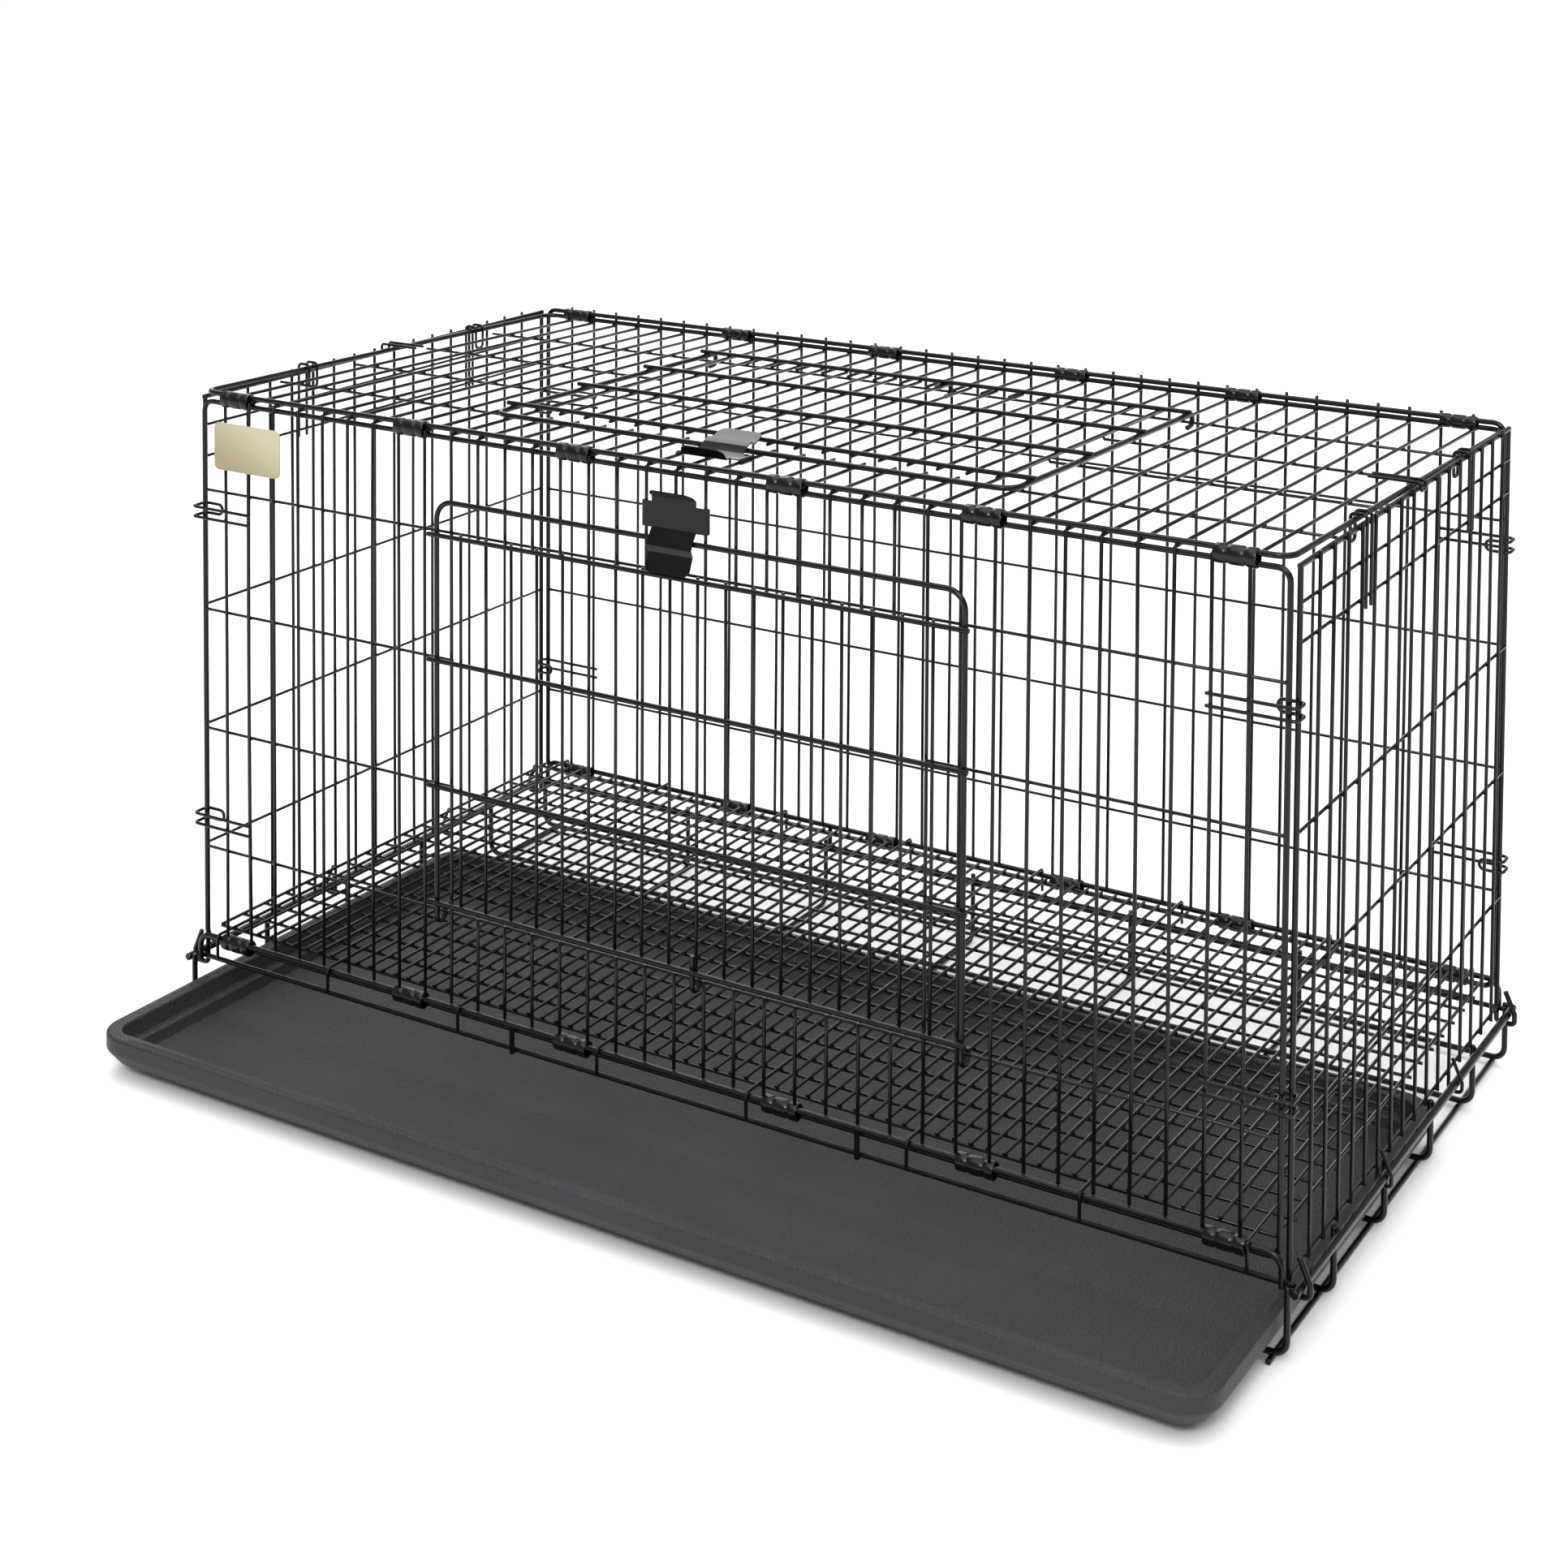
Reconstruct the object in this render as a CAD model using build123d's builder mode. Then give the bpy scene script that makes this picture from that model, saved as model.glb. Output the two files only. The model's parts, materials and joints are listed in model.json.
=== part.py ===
from build123d import *
import math
import os

# A folding wire pet cage: welded wire panels on a wire base, a door in the front and one in the
# top, a loose wire floor and a tray that slides out under it. Millimetres, Z up. The origin is on
# the ground under the middle of the cage and the front faces -Y.

# Driving sizes
PITCH = 25.4  # mesh pitch of the front, back and top panels
BAYS = 36
HALF_WIDTH = PITCH * BAYS / 2  # middle of a panel's side wire
HALF_DEPTH = 237.3  # middle of the front and back panels' border wires
DOOR_BAYS = 8  # the doorways reach this many bays to each side
WELD = 0.05  # the wires of a panel stand this far apart at their welds
RUN = 0.35  # clearance of loose pieces

# Wire diameters
BORDER = 4.2
MESH = 2.7
CROSS = 2.3
DOOR_BAR = 3.8
DOOR_MESH = 2.6
HAIRPIN = 2.5
ROD = 6.0
RAIL = 4.0
TOP_RAIL = 4.5
GRID = 2.6

# Levels
FRONT_BOTTOM = 64.6
FRONT_TOP = 508.3
BACK_TOP = 512.4
LID_FRONT = 515.5  # the top panel falls a little towards the back
LID_BACK = 507.3
CROSS_LEVELS = [141.8, 240.2, 338.1, 435.9]  # the first is also the front door's hinge wire
LID_CROSS_AT = [-147.0, -49.0, 49.0, 147.0]  # the last is also the top door's hinge wire
ROD_LEVEL = 48.3
LOWER_RAIL = 49.5
UPPER_RAIL = 69.3
RUNNER_LEVEL = 6.3
GROUND_LEVEL = 2.0
GRID_LEVEL = 73.2

# Offsets between welded layers
MESH_OUT = (BORDER + MESH) / 2 + WELD
CROSS_OUT = MESH_OUT - (MESH + CROSS) / 2 - WELD

os.makedirs("parts", exist_ok=True)


def finish(builder, name):
    """Label a finished sub-part and write it."""
    builder.part.label = name
    export_step(builder.part, f"parts/{name}.step")


def along_x(diameter, x0, x1, places):
    """Straight round wires along X at each (y, z)."""
    with Locations(*[((x0 + x1) / 2, y, z) for y, z in places]):
        Cylinder(diameter / 2, x1 - x0, rotation=(0, 90, 0))


def along_y(diameter, y0, y1, places):
    """Straight round wires along Y at each (x, z)."""
    with Locations(*[(x, (y0 + y1) / 2, z) for x, z in places]):
        Cylinder(diameter / 2, y1 - y0, rotation=(90, 0, 0))


def along_z(diameter, z0, z1, places):
    """Straight round wires along Z at each (x, y)."""
    with Locations(*[(x, y, (z0 + z1) / 2) for x, y in places]):
        Cylinder(diameter / 2, z1 - z0)


def bent(diameter, bend, points, plane=Plane.XY, close=False):
    """One round wire bent through the points, given in the plane's own axes."""
    with BuildLine(plane) as route:
        FilletPolyline(*points, radius=bend, close=close)
    with BuildSketch(Plane(route.line @ 0, z_dir=route.line % 0)) as section:
        Circle(diameter / 2)
    sweep(section.sketch, path=route.line)


# Base: two side rods, bent ground runners, ground bars and the front and back frames

ROD_X = 470.5
ROD_REACH = 247.0
LEG_X = ROD_X - (ROD + TOP_RAIL) / 2 - WELD
LEG_TOP = 51.6
RUNNER_Y = [-244.0, -156.5, -52.0, 52.0, 156.5, 244.0]
RUNNER_BEND = 9.5
BAR_X = 455.0
BAR_REACH = 250.0

for side, sign in (("left", -1), ("right", 1)):
    with BuildPart() as base_rod:
        along_y(ROD, -ROD_REACH, ROD_REACH, [(sign * ROD_X, ROD_LEVEL)])
        chamfer(base_rod.edges().filter_by(GeomType.CIRCLE), 0.6)
    finish(base_rod, f"base_rod_{side}")

    with BuildPart() as ground_bar:
        along_y(RAIL, -BAR_REACH, BAR_REACH, [(sign * BAR_X, GROUND_LEVEL)])
    finish(ground_bar, f"ground_bar_{side}")

with BuildPart() as ground_runners:
    for y in RUNNER_Y:
        runner = [(-LEG_X, y, LEG_TOP), (-LEG_X, y, RUNNER_LEVEL)]
        runner += [(LEG_X, y, RUNNER_LEVEL), (LEG_X, y, LEG_TOP)]
        bent(TOP_RAIL, RUNNER_BEND, runner)
finish(ground_runners, "ground_runners")

# Five wires come down inside the back frame, turn at the ground and run forward
UPRIGHT_Y = HALF_DEPTH - RAIL - WELD
UPRIGHT_TOP = 60.0
GROUND_WIRE_X = [4.0 + 148.5 * k for k in range(-2, 3)]

with BuildPart() as ground_wires:
    for x in GROUND_WIRE_X:
        route = [(x, UPRIGHT_Y, UPRIGHT_TOP), (x, UPRIGHT_Y, GROUND_LEVEL), (x, -ROD_REACH, GROUND_LEVEL)]
        bent(RAIL, 8.0, route)
finish(ground_wires, "ground_wires")

# Front and back base frames: a straight lower rail, an upper rail whose ends turn down outside
# it, and two short uprights between them
UPPER_OUT = 4.45
UPPER_END = 460.5
UPPER_FOOT = LOWER_RAIL - 1.5
SHORT_UPRIGHT_X = [-145.0, 152.5]

for place, sign in (("front", -1), ("back", 1)):
    rail_y = sign * HALF_DEPTH
    upper_y = sign * (HALF_DEPTH + UPPER_OUT)
    with BuildPart() as base_frame:
        along_x(RAIL, -ROD_X + ROD / 2 + WELD, ROD_X - ROD / 2 - WELD, [(rail_y, LOWER_RAIL)])
        upper = [(-UPPER_END, upper_y, UPPER_FOOT), (-UPPER_END, upper_y, UPPER_RAIL)]
        upper += [(UPPER_END, upper_y, UPPER_RAIL), (UPPER_END, upper_y, UPPER_FOOT)]
        bent(TOP_RAIL, 10.0, upper)
        upright_top = UPPER_RAIL - TOP_RAIL / 2 - WELD
        along_z(RAIL, UPPER_FOOT, upright_top, [(x, upper_y) for x in SHORT_UPRIGHT_X])
    finish(base_frame, f"base_frame_{place}")

# Front and back panels: a border wire with round corners, upright mesh wires welded outside it
# and thin cross wires welded inside the uprights

BORDER_BEND = 8.5
LID_BEND = 12.0
MESH_LOW = UPPER_RAIL + TOP_RAIL / 2 + RUN
CROSS_END = HALF_WIDTH - BORDER / 2 - WELD
door_edge = DOOR_BAYS * PITCH
front_mesh_y = -HALF_DEPTH - MESH_OUT
back_mesh_y = HALF_DEPTH + MESH_OUT
inner_columns = [k * PITCH for k in range(1 - BAYS // 2, BAYS // 2)]
door_columns = [x for x in inner_columns if abs(x) < door_edge - 1]
full_columns = [x for x in inner_columns if abs(x) > door_edge - 1]

for place, sign, top in (("front", -1, FRONT_TOP), ("back", 1, BACK_TOP)):
    with BuildPart() as panel_border:
        corners = [(-HALF_WIDTH, FRONT_BOTTOM), (HALF_WIDTH, FRONT_BOTTOM)]
        corners += [(HALF_WIDTH, top), (-HALF_WIDTH, top)]
        points = [(x, sign * HALF_DEPTH, z) for x, z in corners]
        bent(BORDER, BORDER_BEND, points, close=True)
    finish(panel_border, f"{place}_panel_border")

with BuildPart() as front_panel_uprights:
    end = 4.0  # the uprights' cut ends stand this far above the border's top wire
    along_z(MESH, MESH_LOW, FRONT_TOP + end, [(x, front_mesh_y) for x in full_columns])
    along_z(MESH, MESH_LOW, CROSS_LEVELS[0] + 2, [(x, front_mesh_y) for x in door_columns])
    along_z(MESH, CROSS_LEVELS[-1] - 2, FRONT_TOP + end, [(x, front_mesh_y) for x in door_columns])
finish(front_panel_uprights, "front_panel_uprights")

with BuildPart() as front_panel_cross_wires:
    cross_y = -HALF_DEPTH - CROSS_OUT
    along_x(CROSS, -CROSS_END, CROSS_END, [(cross_y, CROSS_LEVELS[0]), (cross_y, CROSS_LEVELS[3])])
    middle = [(cross_y, CROSS_LEVELS[1]), (cross_y, CROSS_LEVELS[2])]
    along_x(CROSS, -CROSS_END, -door_edge, middle)
    along_x(CROSS, door_edge, CROSS_END, middle)
finish(front_panel_cross_wires, "front_panel_cross_wires")

with BuildPart() as back_panel_uprights:
    along_z(MESH, MESH_LOW, BACK_TOP + 4.0, [(x, back_mesh_y) for x in inner_columns])
finish(back_panel_uprights, "back_panel_uprights")

with BuildPart() as back_panel_cross_wires:
    cross_y = HALF_DEPTH + CROSS_OUT
    along_x(CROSS, -CROSS_END, CROSS_END, [(cross_y, z) for z in CROSS_LEVELS])
finish(back_panel_cross_wires, "back_panel_cross_wires")

# Top panel, in its own slightly tilted plane: the border on top, the mesh wires under it and the
# cross wires under those, with a doorway in the middle

fall = (LID_FRONT - LID_BACK) / (2 * HALF_DEPTH)
lid_middle = (LID_FRONT + LID_BACK) / 2
lid_plane = Plane(origin=(0, 0, lid_middle), x_dir=(1, 0, 0), z_dir=(0, fall, 1))
lid_reach = HALF_DEPTH * math.hypot(1, fall)
lid_mesh_w = -MESH_OUT
lid_cross_w = lid_mesh_w - (MESH + CROSS) / 2 - WELD
lid_mesh_end = lid_reach + 2.0

with BuildPart() as top_panel_border:
    corners = [(-HALF_WIDTH, -lid_reach, 0), (HALF_WIDTH, -lid_reach, 0)]
    corners += [(HALF_WIDTH, lid_reach, 0), (-HALF_WIDTH, lid_reach, 0)]
    bent(BORDER, LID_BEND, corners, plane=lid_plane, close=True)
finish(top_panel_border, "top_panel_border")

with BuildPart(lid_plane) as top_panel_mesh_wires:
    front_end = LID_CROSS_AT[0] + 2
    back_end = LID_CROSS_AT[-1] - 2
    along_y(MESH, -lid_mesh_end, lid_mesh_end, [(x, lid_mesh_w) for x in full_columns])
    along_y(MESH, -lid_mesh_end, front_end, [(x, lid_mesh_w) for x in door_columns])
    along_y(MESH, back_end, lid_mesh_end, [(x, lid_mesh_w) for x in door_columns])
finish(top_panel_mesh_wires, "top_panel_mesh_wires")

with BuildPart(lid_plane) as top_panel_cross_wires:
    outer = [(LID_CROSS_AT[0], lid_cross_w), (LID_CROSS_AT[-1], lid_cross_w)]
    inner = [(v, lid_cross_w) for v in LID_CROSS_AT[1:-1]]
    reach = HALF_WIDTH - 1.0
    along_x(CROSS, -reach, reach, outer)
    along_x(CROSS, -reach, -door_edge, inner)
    along_x(CROSS, door_edge, reach, inner)
finish(top_panel_cross_wires, "top_panel_cross_wires")

# Doors. Both are the same size and are drawn in a plane whose origin is the hinge wire: x along
# it, y up the door and z outward. Two side wires and a short middle wire hook round the hinge wire.

DOOR_WIDTH = 448.0
DOOR_HEIGHT = 319.2
DOOR_OUT = 6.35
DOOR_BAR_AT = [9.4, 100.0, 197.4, 293.9]
DOOR_COLUMNS = 18
HOOK_CENTRE = 2.1  # the hook's bend is centred this far past the hinge wire
HOOK_BEND = 4.9
HOOK_DEPTH = 10.0
bar_out = DOOR_OUT + (BORDER + DOOR_BAR) / 2 + WELD
column_out = bar_out - (DOOR_BAR + DOOR_MESH) / 2 - WELD


def hook_route(x, start):
    """A wire down the door that passes the hinge wire and turns back up behind it."""
    back = DOOR_OUT - HOOK_DEPTH
    foot = -HOOK_CENTRE - HOOK_DEPTH / 2
    return [(x, start, DOOR_OUT), (x, foot, DOOR_OUT), (x, foot, back), (x, 3.0, back)]


def door(name, plane, middle_hook):
    """A welded wire door hung on the plane's x axis."""
    half = DOOR_WIDTH / 2
    left = hook_route(-half, DOOR_HEIGHT)
    right = hook_route(half, DOOR_HEIGHT)
    bends = [HOOK_BEND, HOOK_BEND, 14.0, 14.0, HOOK_BEND, HOOK_BEND]
    pitch = DOOR_WIDTH / (DOOR_COLUMNS + 1)
    with BuildPart(plane) as wire_door:
        bent(BORDER, bends, left[::-1] + right, plane=plane)
        bent(BORDER, HOOK_BEND, hook_route(middle_hook, 22.0), plane=plane)
        along_x(DOOR_BAR, -half - 6.0, half + 5.0, [(a, bar_out) for a in DOOR_BAR_AT])
        columns = [(-half + pitch * (i + 1), column_out) for i in range(DOOR_COLUMNS)]
        along_y(DOOR_MESH, DOOR_BAR_AT[0] - 2.5, DOOR_BAR_AT[-1] + 2.5, columns)
    finish(wire_door, name)


FRONT_DOOR_X = 10.0
TOP_DOOR_X = 9.0
hinge_y = -HALF_DEPTH - CROSS_OUT
front_door_plane = Plane(
    origin=(FRONT_DOOR_X, hinge_y, CROSS_LEVELS[0]), x_dir=(1, 0, 0), z_dir=(0, -1, 0)
)
top_hinge = lid_plane.from_local_coords(Vector(0, LID_CROSS_AT[-1], lid_cross_w))
top_door_plane = Plane(
    origin=(TOP_DOOR_X, top_hinge.Y, top_hinge.Z), x_dir=(-1, 0, 0), z_dir=lid_plane.z_dir
)
door("front_door", front_door_plane, 8.0)
door("top_door", top_door_plane, -9.0)

# Latches: a springy sheet plate with two ears curled round the first mesh wires beside the
# middle, a fold over the door's end wire, a flared tongue below it and a finger tab above

SHEET = 1.0
PLATE_HALF = 19.0
EAR_LOW = 326.7
EAR_HIGH = 345.7
mesh_out = MESH_OUT - CROSS_OUT
plate_out = mesh_out + MESH / 2 + 0.8 + SHEET / 2
EAR_CURL = plate_out - mesh_out
EAR_TURN = 110  # degrees; the ears pass in front of the panels' edge wires as the latch slides
FOLD_OUT = 9.6
latch_line = [(15.2, 296.7), (FOLD_OUT, 310.5), (12.0, 315.3), (FOLD_OUT, 320.8)]
latch_line += [(plate_out, 327.2), (plate_out, 350.0), (12.6, 355.2)]


def latch(name, plane):
    """A sliding sheet latch, drawn in its door's plane with x = 0 at the cage's middle."""
    with BuildPart(plane) as sliding_latch:
        side = Plane(origin=plane.origin, x_dir=plane.z_dir, z_dir=-plane.x_dir)
        with BuildSketch(side):
            with BuildLine():
                FilletPolyline(*latch_line, radius=1.2)
            trace(line_width=SHEET)
        extrude(amount=PLATE_HALF, both=True)
        top_view = Plane(
            origin=plane.from_local_coords(Vector(0, EAR_LOW, 0)),
            x_dir=plane.x_dir,
            z_dir=plane.y_dir,
        )
        with BuildSketch(top_view):
            for way in (-1, 1):
                with BuildLine():
                    start = (way * (PLATE_HALF - 1), -plate_out)
                    Line(start, (way * PITCH, -plate_out))
                    CenterArc((way * PITCH, -mesh_out), EAR_CURL, -90, way * EAR_TURN)
                trace(line_width=SHEET)
        extrude(amount=EAR_HIGH - EAR_LOW)
    finish(sliding_latch, name)


front_latch_plane = Plane(
    origin=(0, hinge_y, CROSS_LEVELS[0]), x_dir=(1, 0, 0), z_dir=(0, -1, 0)
)
top_latch_plane = Plane(
    origin=(0, top_hinge.Y, top_hinge.Z), x_dir=(-1, 0, 0), z_dir=lid_plane.z_dir
)
latch("front_latch", front_latch_plane)
latch("top_latch", top_latch_plane)

# End panels: four of the uprights end in a hook round the base rod, and two hairpins reach over
# the top panel's end wire

END_X = 461.7
END_BORDER = 4.0
END_BAYS = 17
END_HALF = 232.0
END_TOP = 510.0
END_CROSS_LEVELS = [53.5, 141.0, 240.0, 339.0, 460.8, 486.5]
HOOK_BAYS = [0, 6, 12, 17]
LIFT = 2.0  # the hooks let an end panel rise this far
TAIL_TOP = ROD_LEVEL + 18.0
TAIL_LEAN = 7.5
HAIRPIN_AT = [-109.0, 123.0]
HAIRPIN_LOW = 454.0
end_pitch = 2 * END_HALF / END_BAYS
end_mesh_x = END_X + (END_BORDER + MESH) / 2 + WELD
end_cross_x = end_mesh_x - (MESH + CROSS) / 2 - WELD
hairpin_x = END_X + (END_BORDER + HAIRPIN) / 2 + WELD
hairpin_in_x = HALF_WIDTH - (BORDER + HAIRPIN) / 2 - 0.5


def rod_hook(sign, x, y, diameter, top):
    """An upright whose foot passes down inside the base rod, turns out under it and comes up
    outside it, with a tail that leans back in above the rod."""
    around = (ROD + diameter) / 2 + RUN
    out = ROD_X + around
    foot = ROD_LEVEL - around - LIFT
    route = [(x, top), (x, foot), (out, foot), (out, ROD_LEVEL + 1), (out - TAIL_LEAN, TAIL_TOP)]
    bent(diameter, 3.4, [(sign * a, y, b) for a, b in route])


def end_panel(side, sign):
    """One end panel with its hooks."""
    with BuildPart() as panel:
        for y in (-END_HALF, END_HALF):
            rod_hook(sign, END_X, y, END_BORDER, END_TOP - END_BORDER / 2 - WELD)
        along_y(END_BORDER, -END_HALF - 2, END_HALF + 2, [(sign * END_X, END_TOP)])
        for i in HOOK_BAYS[1:-1]:
            rod_hook(sign, end_mesh_x, -END_HALF + i * end_pitch, MESH, END_TOP + 4.0)
        plain = [i for i in range(1, END_BAYS) if i not in HOOK_BAYS]
        uprights = [(sign * end_mesh_x, -END_HALF + i * end_pitch) for i in plain]
        along_z(MESH, END_CROSS_LEVELS[0] - 1.5, END_TOP + 4.0, uprights)
        reach = END_HALF - END_BORDER / 2 - WELD
        along_y(CROSS, -reach, reach, [(sign * end_cross_x, z) for z in END_CROSS_LEVELS])
    finish(panel, f"{side}_end_panel")


def end_hairpins(side, sign):
    """Two bent wires over the top of one end panel."""
    half = 5.0
    with BuildPart() as hairpins:
        for y in HAIRPIN_AT:
            arch = 0.5 + HAIRPIN / 2 + max(lid_middle - fall * y + BORDER / 2, END_TOP + END_BORDER / 2)
            leg = [(hairpin_x, HAIRPIN_LOW), (hairpin_x, arch), (hairpin_in_x, arch)]
            leg += [(hairpin_in_x, arch - 20.0)]
            first = [(sign * x, y - half, z) for x, z in leg]
            second = [(sign * x, y + half, z) for x, z in leg[::-1]]
            bent(HAIRPIN, 3.4, first + second)
    finish(hairpins, f"{side}_end_hairpins")


def top_keeper(side, sign):
    """A bent wire on the top panel that reaches out over the end panel's top wire."""
    half = 5.0
    middle_y = 3.0
    level = 516.0
    tail = HALF_WIDTH - PITCH - 4.0
    tip = END_X + 4.5
    with BuildPart() as keeper:
        leg = [(tail, level), (tip, level), (tip, level - 6.0)]
        first = [(sign * x, middle_y - half, z) for x, z in leg]
        second = [(sign * x, middle_y + half, z) for x, z in leg[::-1]]
        bent(HAIRPIN, [2.5, 3.2, 3.2, 2.5], first + second)
    finish(keeper, f"{side}_top_keeper")


for side, sign in (("left", -1), ("right", 1)):
    end_panel(side, sign)
    end_hairpins(side, sign)
    top_keeper(side, sign)

# Hairpins that tie the front and back panels to the end panels round each corner

PIN_LEVELS = [164.8, 417.8]
PIN_SPREAD = 8.15
PIN_TAIL = 404.0
PIN_INNER = 447.0
pin_out = HALF_DEPTH + MESH_OUT + (MESH + HAIRPIN) / 2 + WELD
pin_corner = END_X + (END_BORDER + HAIRPIN) / 2 + RUN
pin_back = END_HALF - (END_BORDER + HAIRPIN) / 2 - RUN

for place, way in (("front", -1), ("back", 1)):
    with BuildPart() as corner_hairpins:
        for sign in (-1, 1):
            for level in PIN_LEVELS:
                leg = [(PIN_TAIL, pin_out), (pin_corner, pin_out)]
                leg += [(pin_corner, pin_back), (PIN_INNER, pin_back)]
                low = level - PIN_SPREAD / 2
                high = level + PIN_SPREAD / 2
                first = [(sign * x, way * y, low) for x, y in leg]
                second = [(sign * x, way * y, high) for x, y in leg[::-1]]
                bent(HAIRPIN, 3.9, first + second)
    finish(corner_hairpins, f"{place}_corner_hairpins")

# Ring clips that join the panels along their long edges and let them fold

CLIP_X = [-421.8, -244.0, -90.5, 90.5, 244.0, 421.8]
CLIP_LENGTH = 28.0
CLIP_WALL = 0.9


def ring_clips(name, y, z, inner):
    """A row of six crimped rings with two crimp grooves in each."""
    with BuildPart() as clips:
        with Locations(*[(x, y, z) for x in CLIP_X]):
            Cylinder(inner + CLIP_WALL, CLIP_LENGTH, rotation=(0, 90, 0))
        with Locations(*[(x, y, z) for x in CLIP_X]):
            Cylinder(inner, CLIP_LENGTH + 1, rotation=(0, 90, 0), mode=Mode.SUBTRACT)
        for offset in (-6.0, 6.0):
            with Locations(*[(x + offset, y, z - inner) for x in CLIP_X]):
                Box(3.0, 6.0, 4.0, mode=Mode.SUBTRACT)
    finish(clips, name)


def clip_bore(gap, diameter):
    """The inner radius that holds two wires whose middles are a gap apart."""
    return (gap + diameter) / 2 + 0.1


base_gap = math.hypot(UPPER_OUT, UPPER_RAIL - FRONT_BOTTOM)
base_clip_z = (UPPER_RAIL + FRONT_BOTTOM) / 2
base_clip_y = HALF_DEPTH + UPPER_OUT / 2
ring_clips(
    "top_front_clips", -HALF_DEPTH, (FRONT_TOP + LID_FRONT) / 2, clip_bore(LID_FRONT - FRONT_TOP, BORDER)
)
ring_clips(
    "top_back_clips", HALF_DEPTH, (BACK_TOP + LID_BACK) / 2, clip_bore(BACK_TOP - LID_BACK, BORDER)
)
ring_clips("bottom_front_clips", -base_clip_y, base_clip_z, clip_bore(base_gap, TOP_RAIL))
ring_clips("bottom_back_clips", base_clip_y, base_clip_z, clip_bore(base_gap, TOP_RAIL))

# Floor: long wires below, short wires above, and eight of the short ones hook over the rails

GRID_STEP = 12.9
GRID_LONG = 18
GRID_LONG_PITCH = 26.3
HOOK_COLUMNS = [5, 15, 25, 34]
grid_reach = GRID_LONG_PITCH * (GRID_LONG - 1) / 2
grid_rows = [-grid_reach + GRID_LONG_PITCH * i for i in range(GRID_LONG)]
long_level = GRID_LEVEL - GRID - WELD
hook_out = HALF_DEPTH + UPPER_OUT + (TOP_RAIL + GRID) / 2 + RUN
columns = range(-35, 36)

with BuildPart() as floor_long_wires:
    half = GRID_STEP * 35 + 3.0
    along_x(GRID, -half, half, [(y, long_level) for y in grid_rows])
finish(floor_long_wires, "floor_long_wires")

with BuildPart() as floor_short_wires:
    half = grid_reach + 3.0
    plain = [k for k in columns if abs(k) not in HOOK_COLUMNS]
    along_y(GRID, -half, half, [(GRID_STEP * k, GRID_LEVEL) for k in plain])
finish(floor_short_wires, "floor_short_wires")

with BuildPart() as floor_hook_wires:
    for k in columns:
        if abs(k) in HOOK_COLUMNS:
            x = GRID_STEP * k
            route = [(x, -hook_out, 53.7), (x, -hook_out, GRID_LEVEL)]
            route += [(x, hook_out, GRID_LEVEL), (x, hook_out, 53.7)]
            bent(GRID, 3.0, route)
finish(floor_hook_wires, "floor_hook_wires")

# Tray: a moulded plastic tray with a flat rim and a stepped floor

TRAY_WIDTH = 920.0
TRAY_DEPTH = 458.0
TRAY_LOW = 8.9
TRAY_HIGH = 33.9
TRAY_PULLED = 136.0  # the tray stands this far out of its home place
TRAY_CORNER = 27.0
TRAY_TAPER = 10.0
RIM = 12.0
RIM_THICK = 12.0
LEDGE = 21.0
LEDGE_WIDTH = 9.0
WALL_TAPER = 12.0
FLOOR_THICK = 2.5


def tray_outline(inset, corner):
    """A rounded rectangle inside the tray's outer edge."""
    with Locations((0, -TRAY_PULLED)):
        RectangleRounded(TRAY_WIDTH - 2 * inset, TRAY_DEPTH - 2 * inset, corner)


with BuildPart() as tray:
    with BuildSketch(Plane.XY.offset(TRAY_LOW)):
        tray_outline(TRAY_TAPER, TRAY_CORNER - 9)
    with BuildSketch(Plane.XY.offset(TRAY_HIGH - RIM_THICK)):
        tray_outline(0, TRAY_CORNER)
    loft()
    with BuildSketch(Plane.XY.offset(TRAY_HIGH - RIM_THICK)):
        tray_outline(0, TRAY_CORNER)
    extrude(amount=RIM_THICK)
    with BuildSketch(Plane.XY.offset(TRAY_HIGH)):
        tray_outline(RIM, TRAY_CORNER - 9)
    extrude(amount=LEDGE - TRAY_HIGH, taper=WALL_TAPER, mode=Mode.SUBTRACT)
    with BuildSketch(Plane.XY.offset(LEDGE)):
        tray_outline(RIM + LEDGE_WIDTH, TRAY_CORNER - 12)
    extrude(amount=TRAY_LOW + FLOOR_THICK - LEDGE, taper=WALL_TAPER, mode=Mode.SUBTRACT)
finish(tray, "slide_out_tray")

# A plain label plate on the front panel's uprights

PLATE_SIZE = (69.0, 38.5)
PLATE_AT = (-407.0, 474.75)
PLATE_THICK = 1.2

with BuildPart() as label_plate:
    plate_y = front_mesh_y - MESH / 2 - WELD
    with BuildSketch(Plane(origin=(PLATE_AT[0], plate_y, PLATE_AT[1]), x_dir=(1, 0, 0), z_dir=(0, -1, 0))):
        RectangleRounded(*PLATE_SIZE, 5.0)
    extrude(amount=PLATE_THICK)
finish(label_plate, "label_plate")
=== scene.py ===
import json
import math

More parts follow.
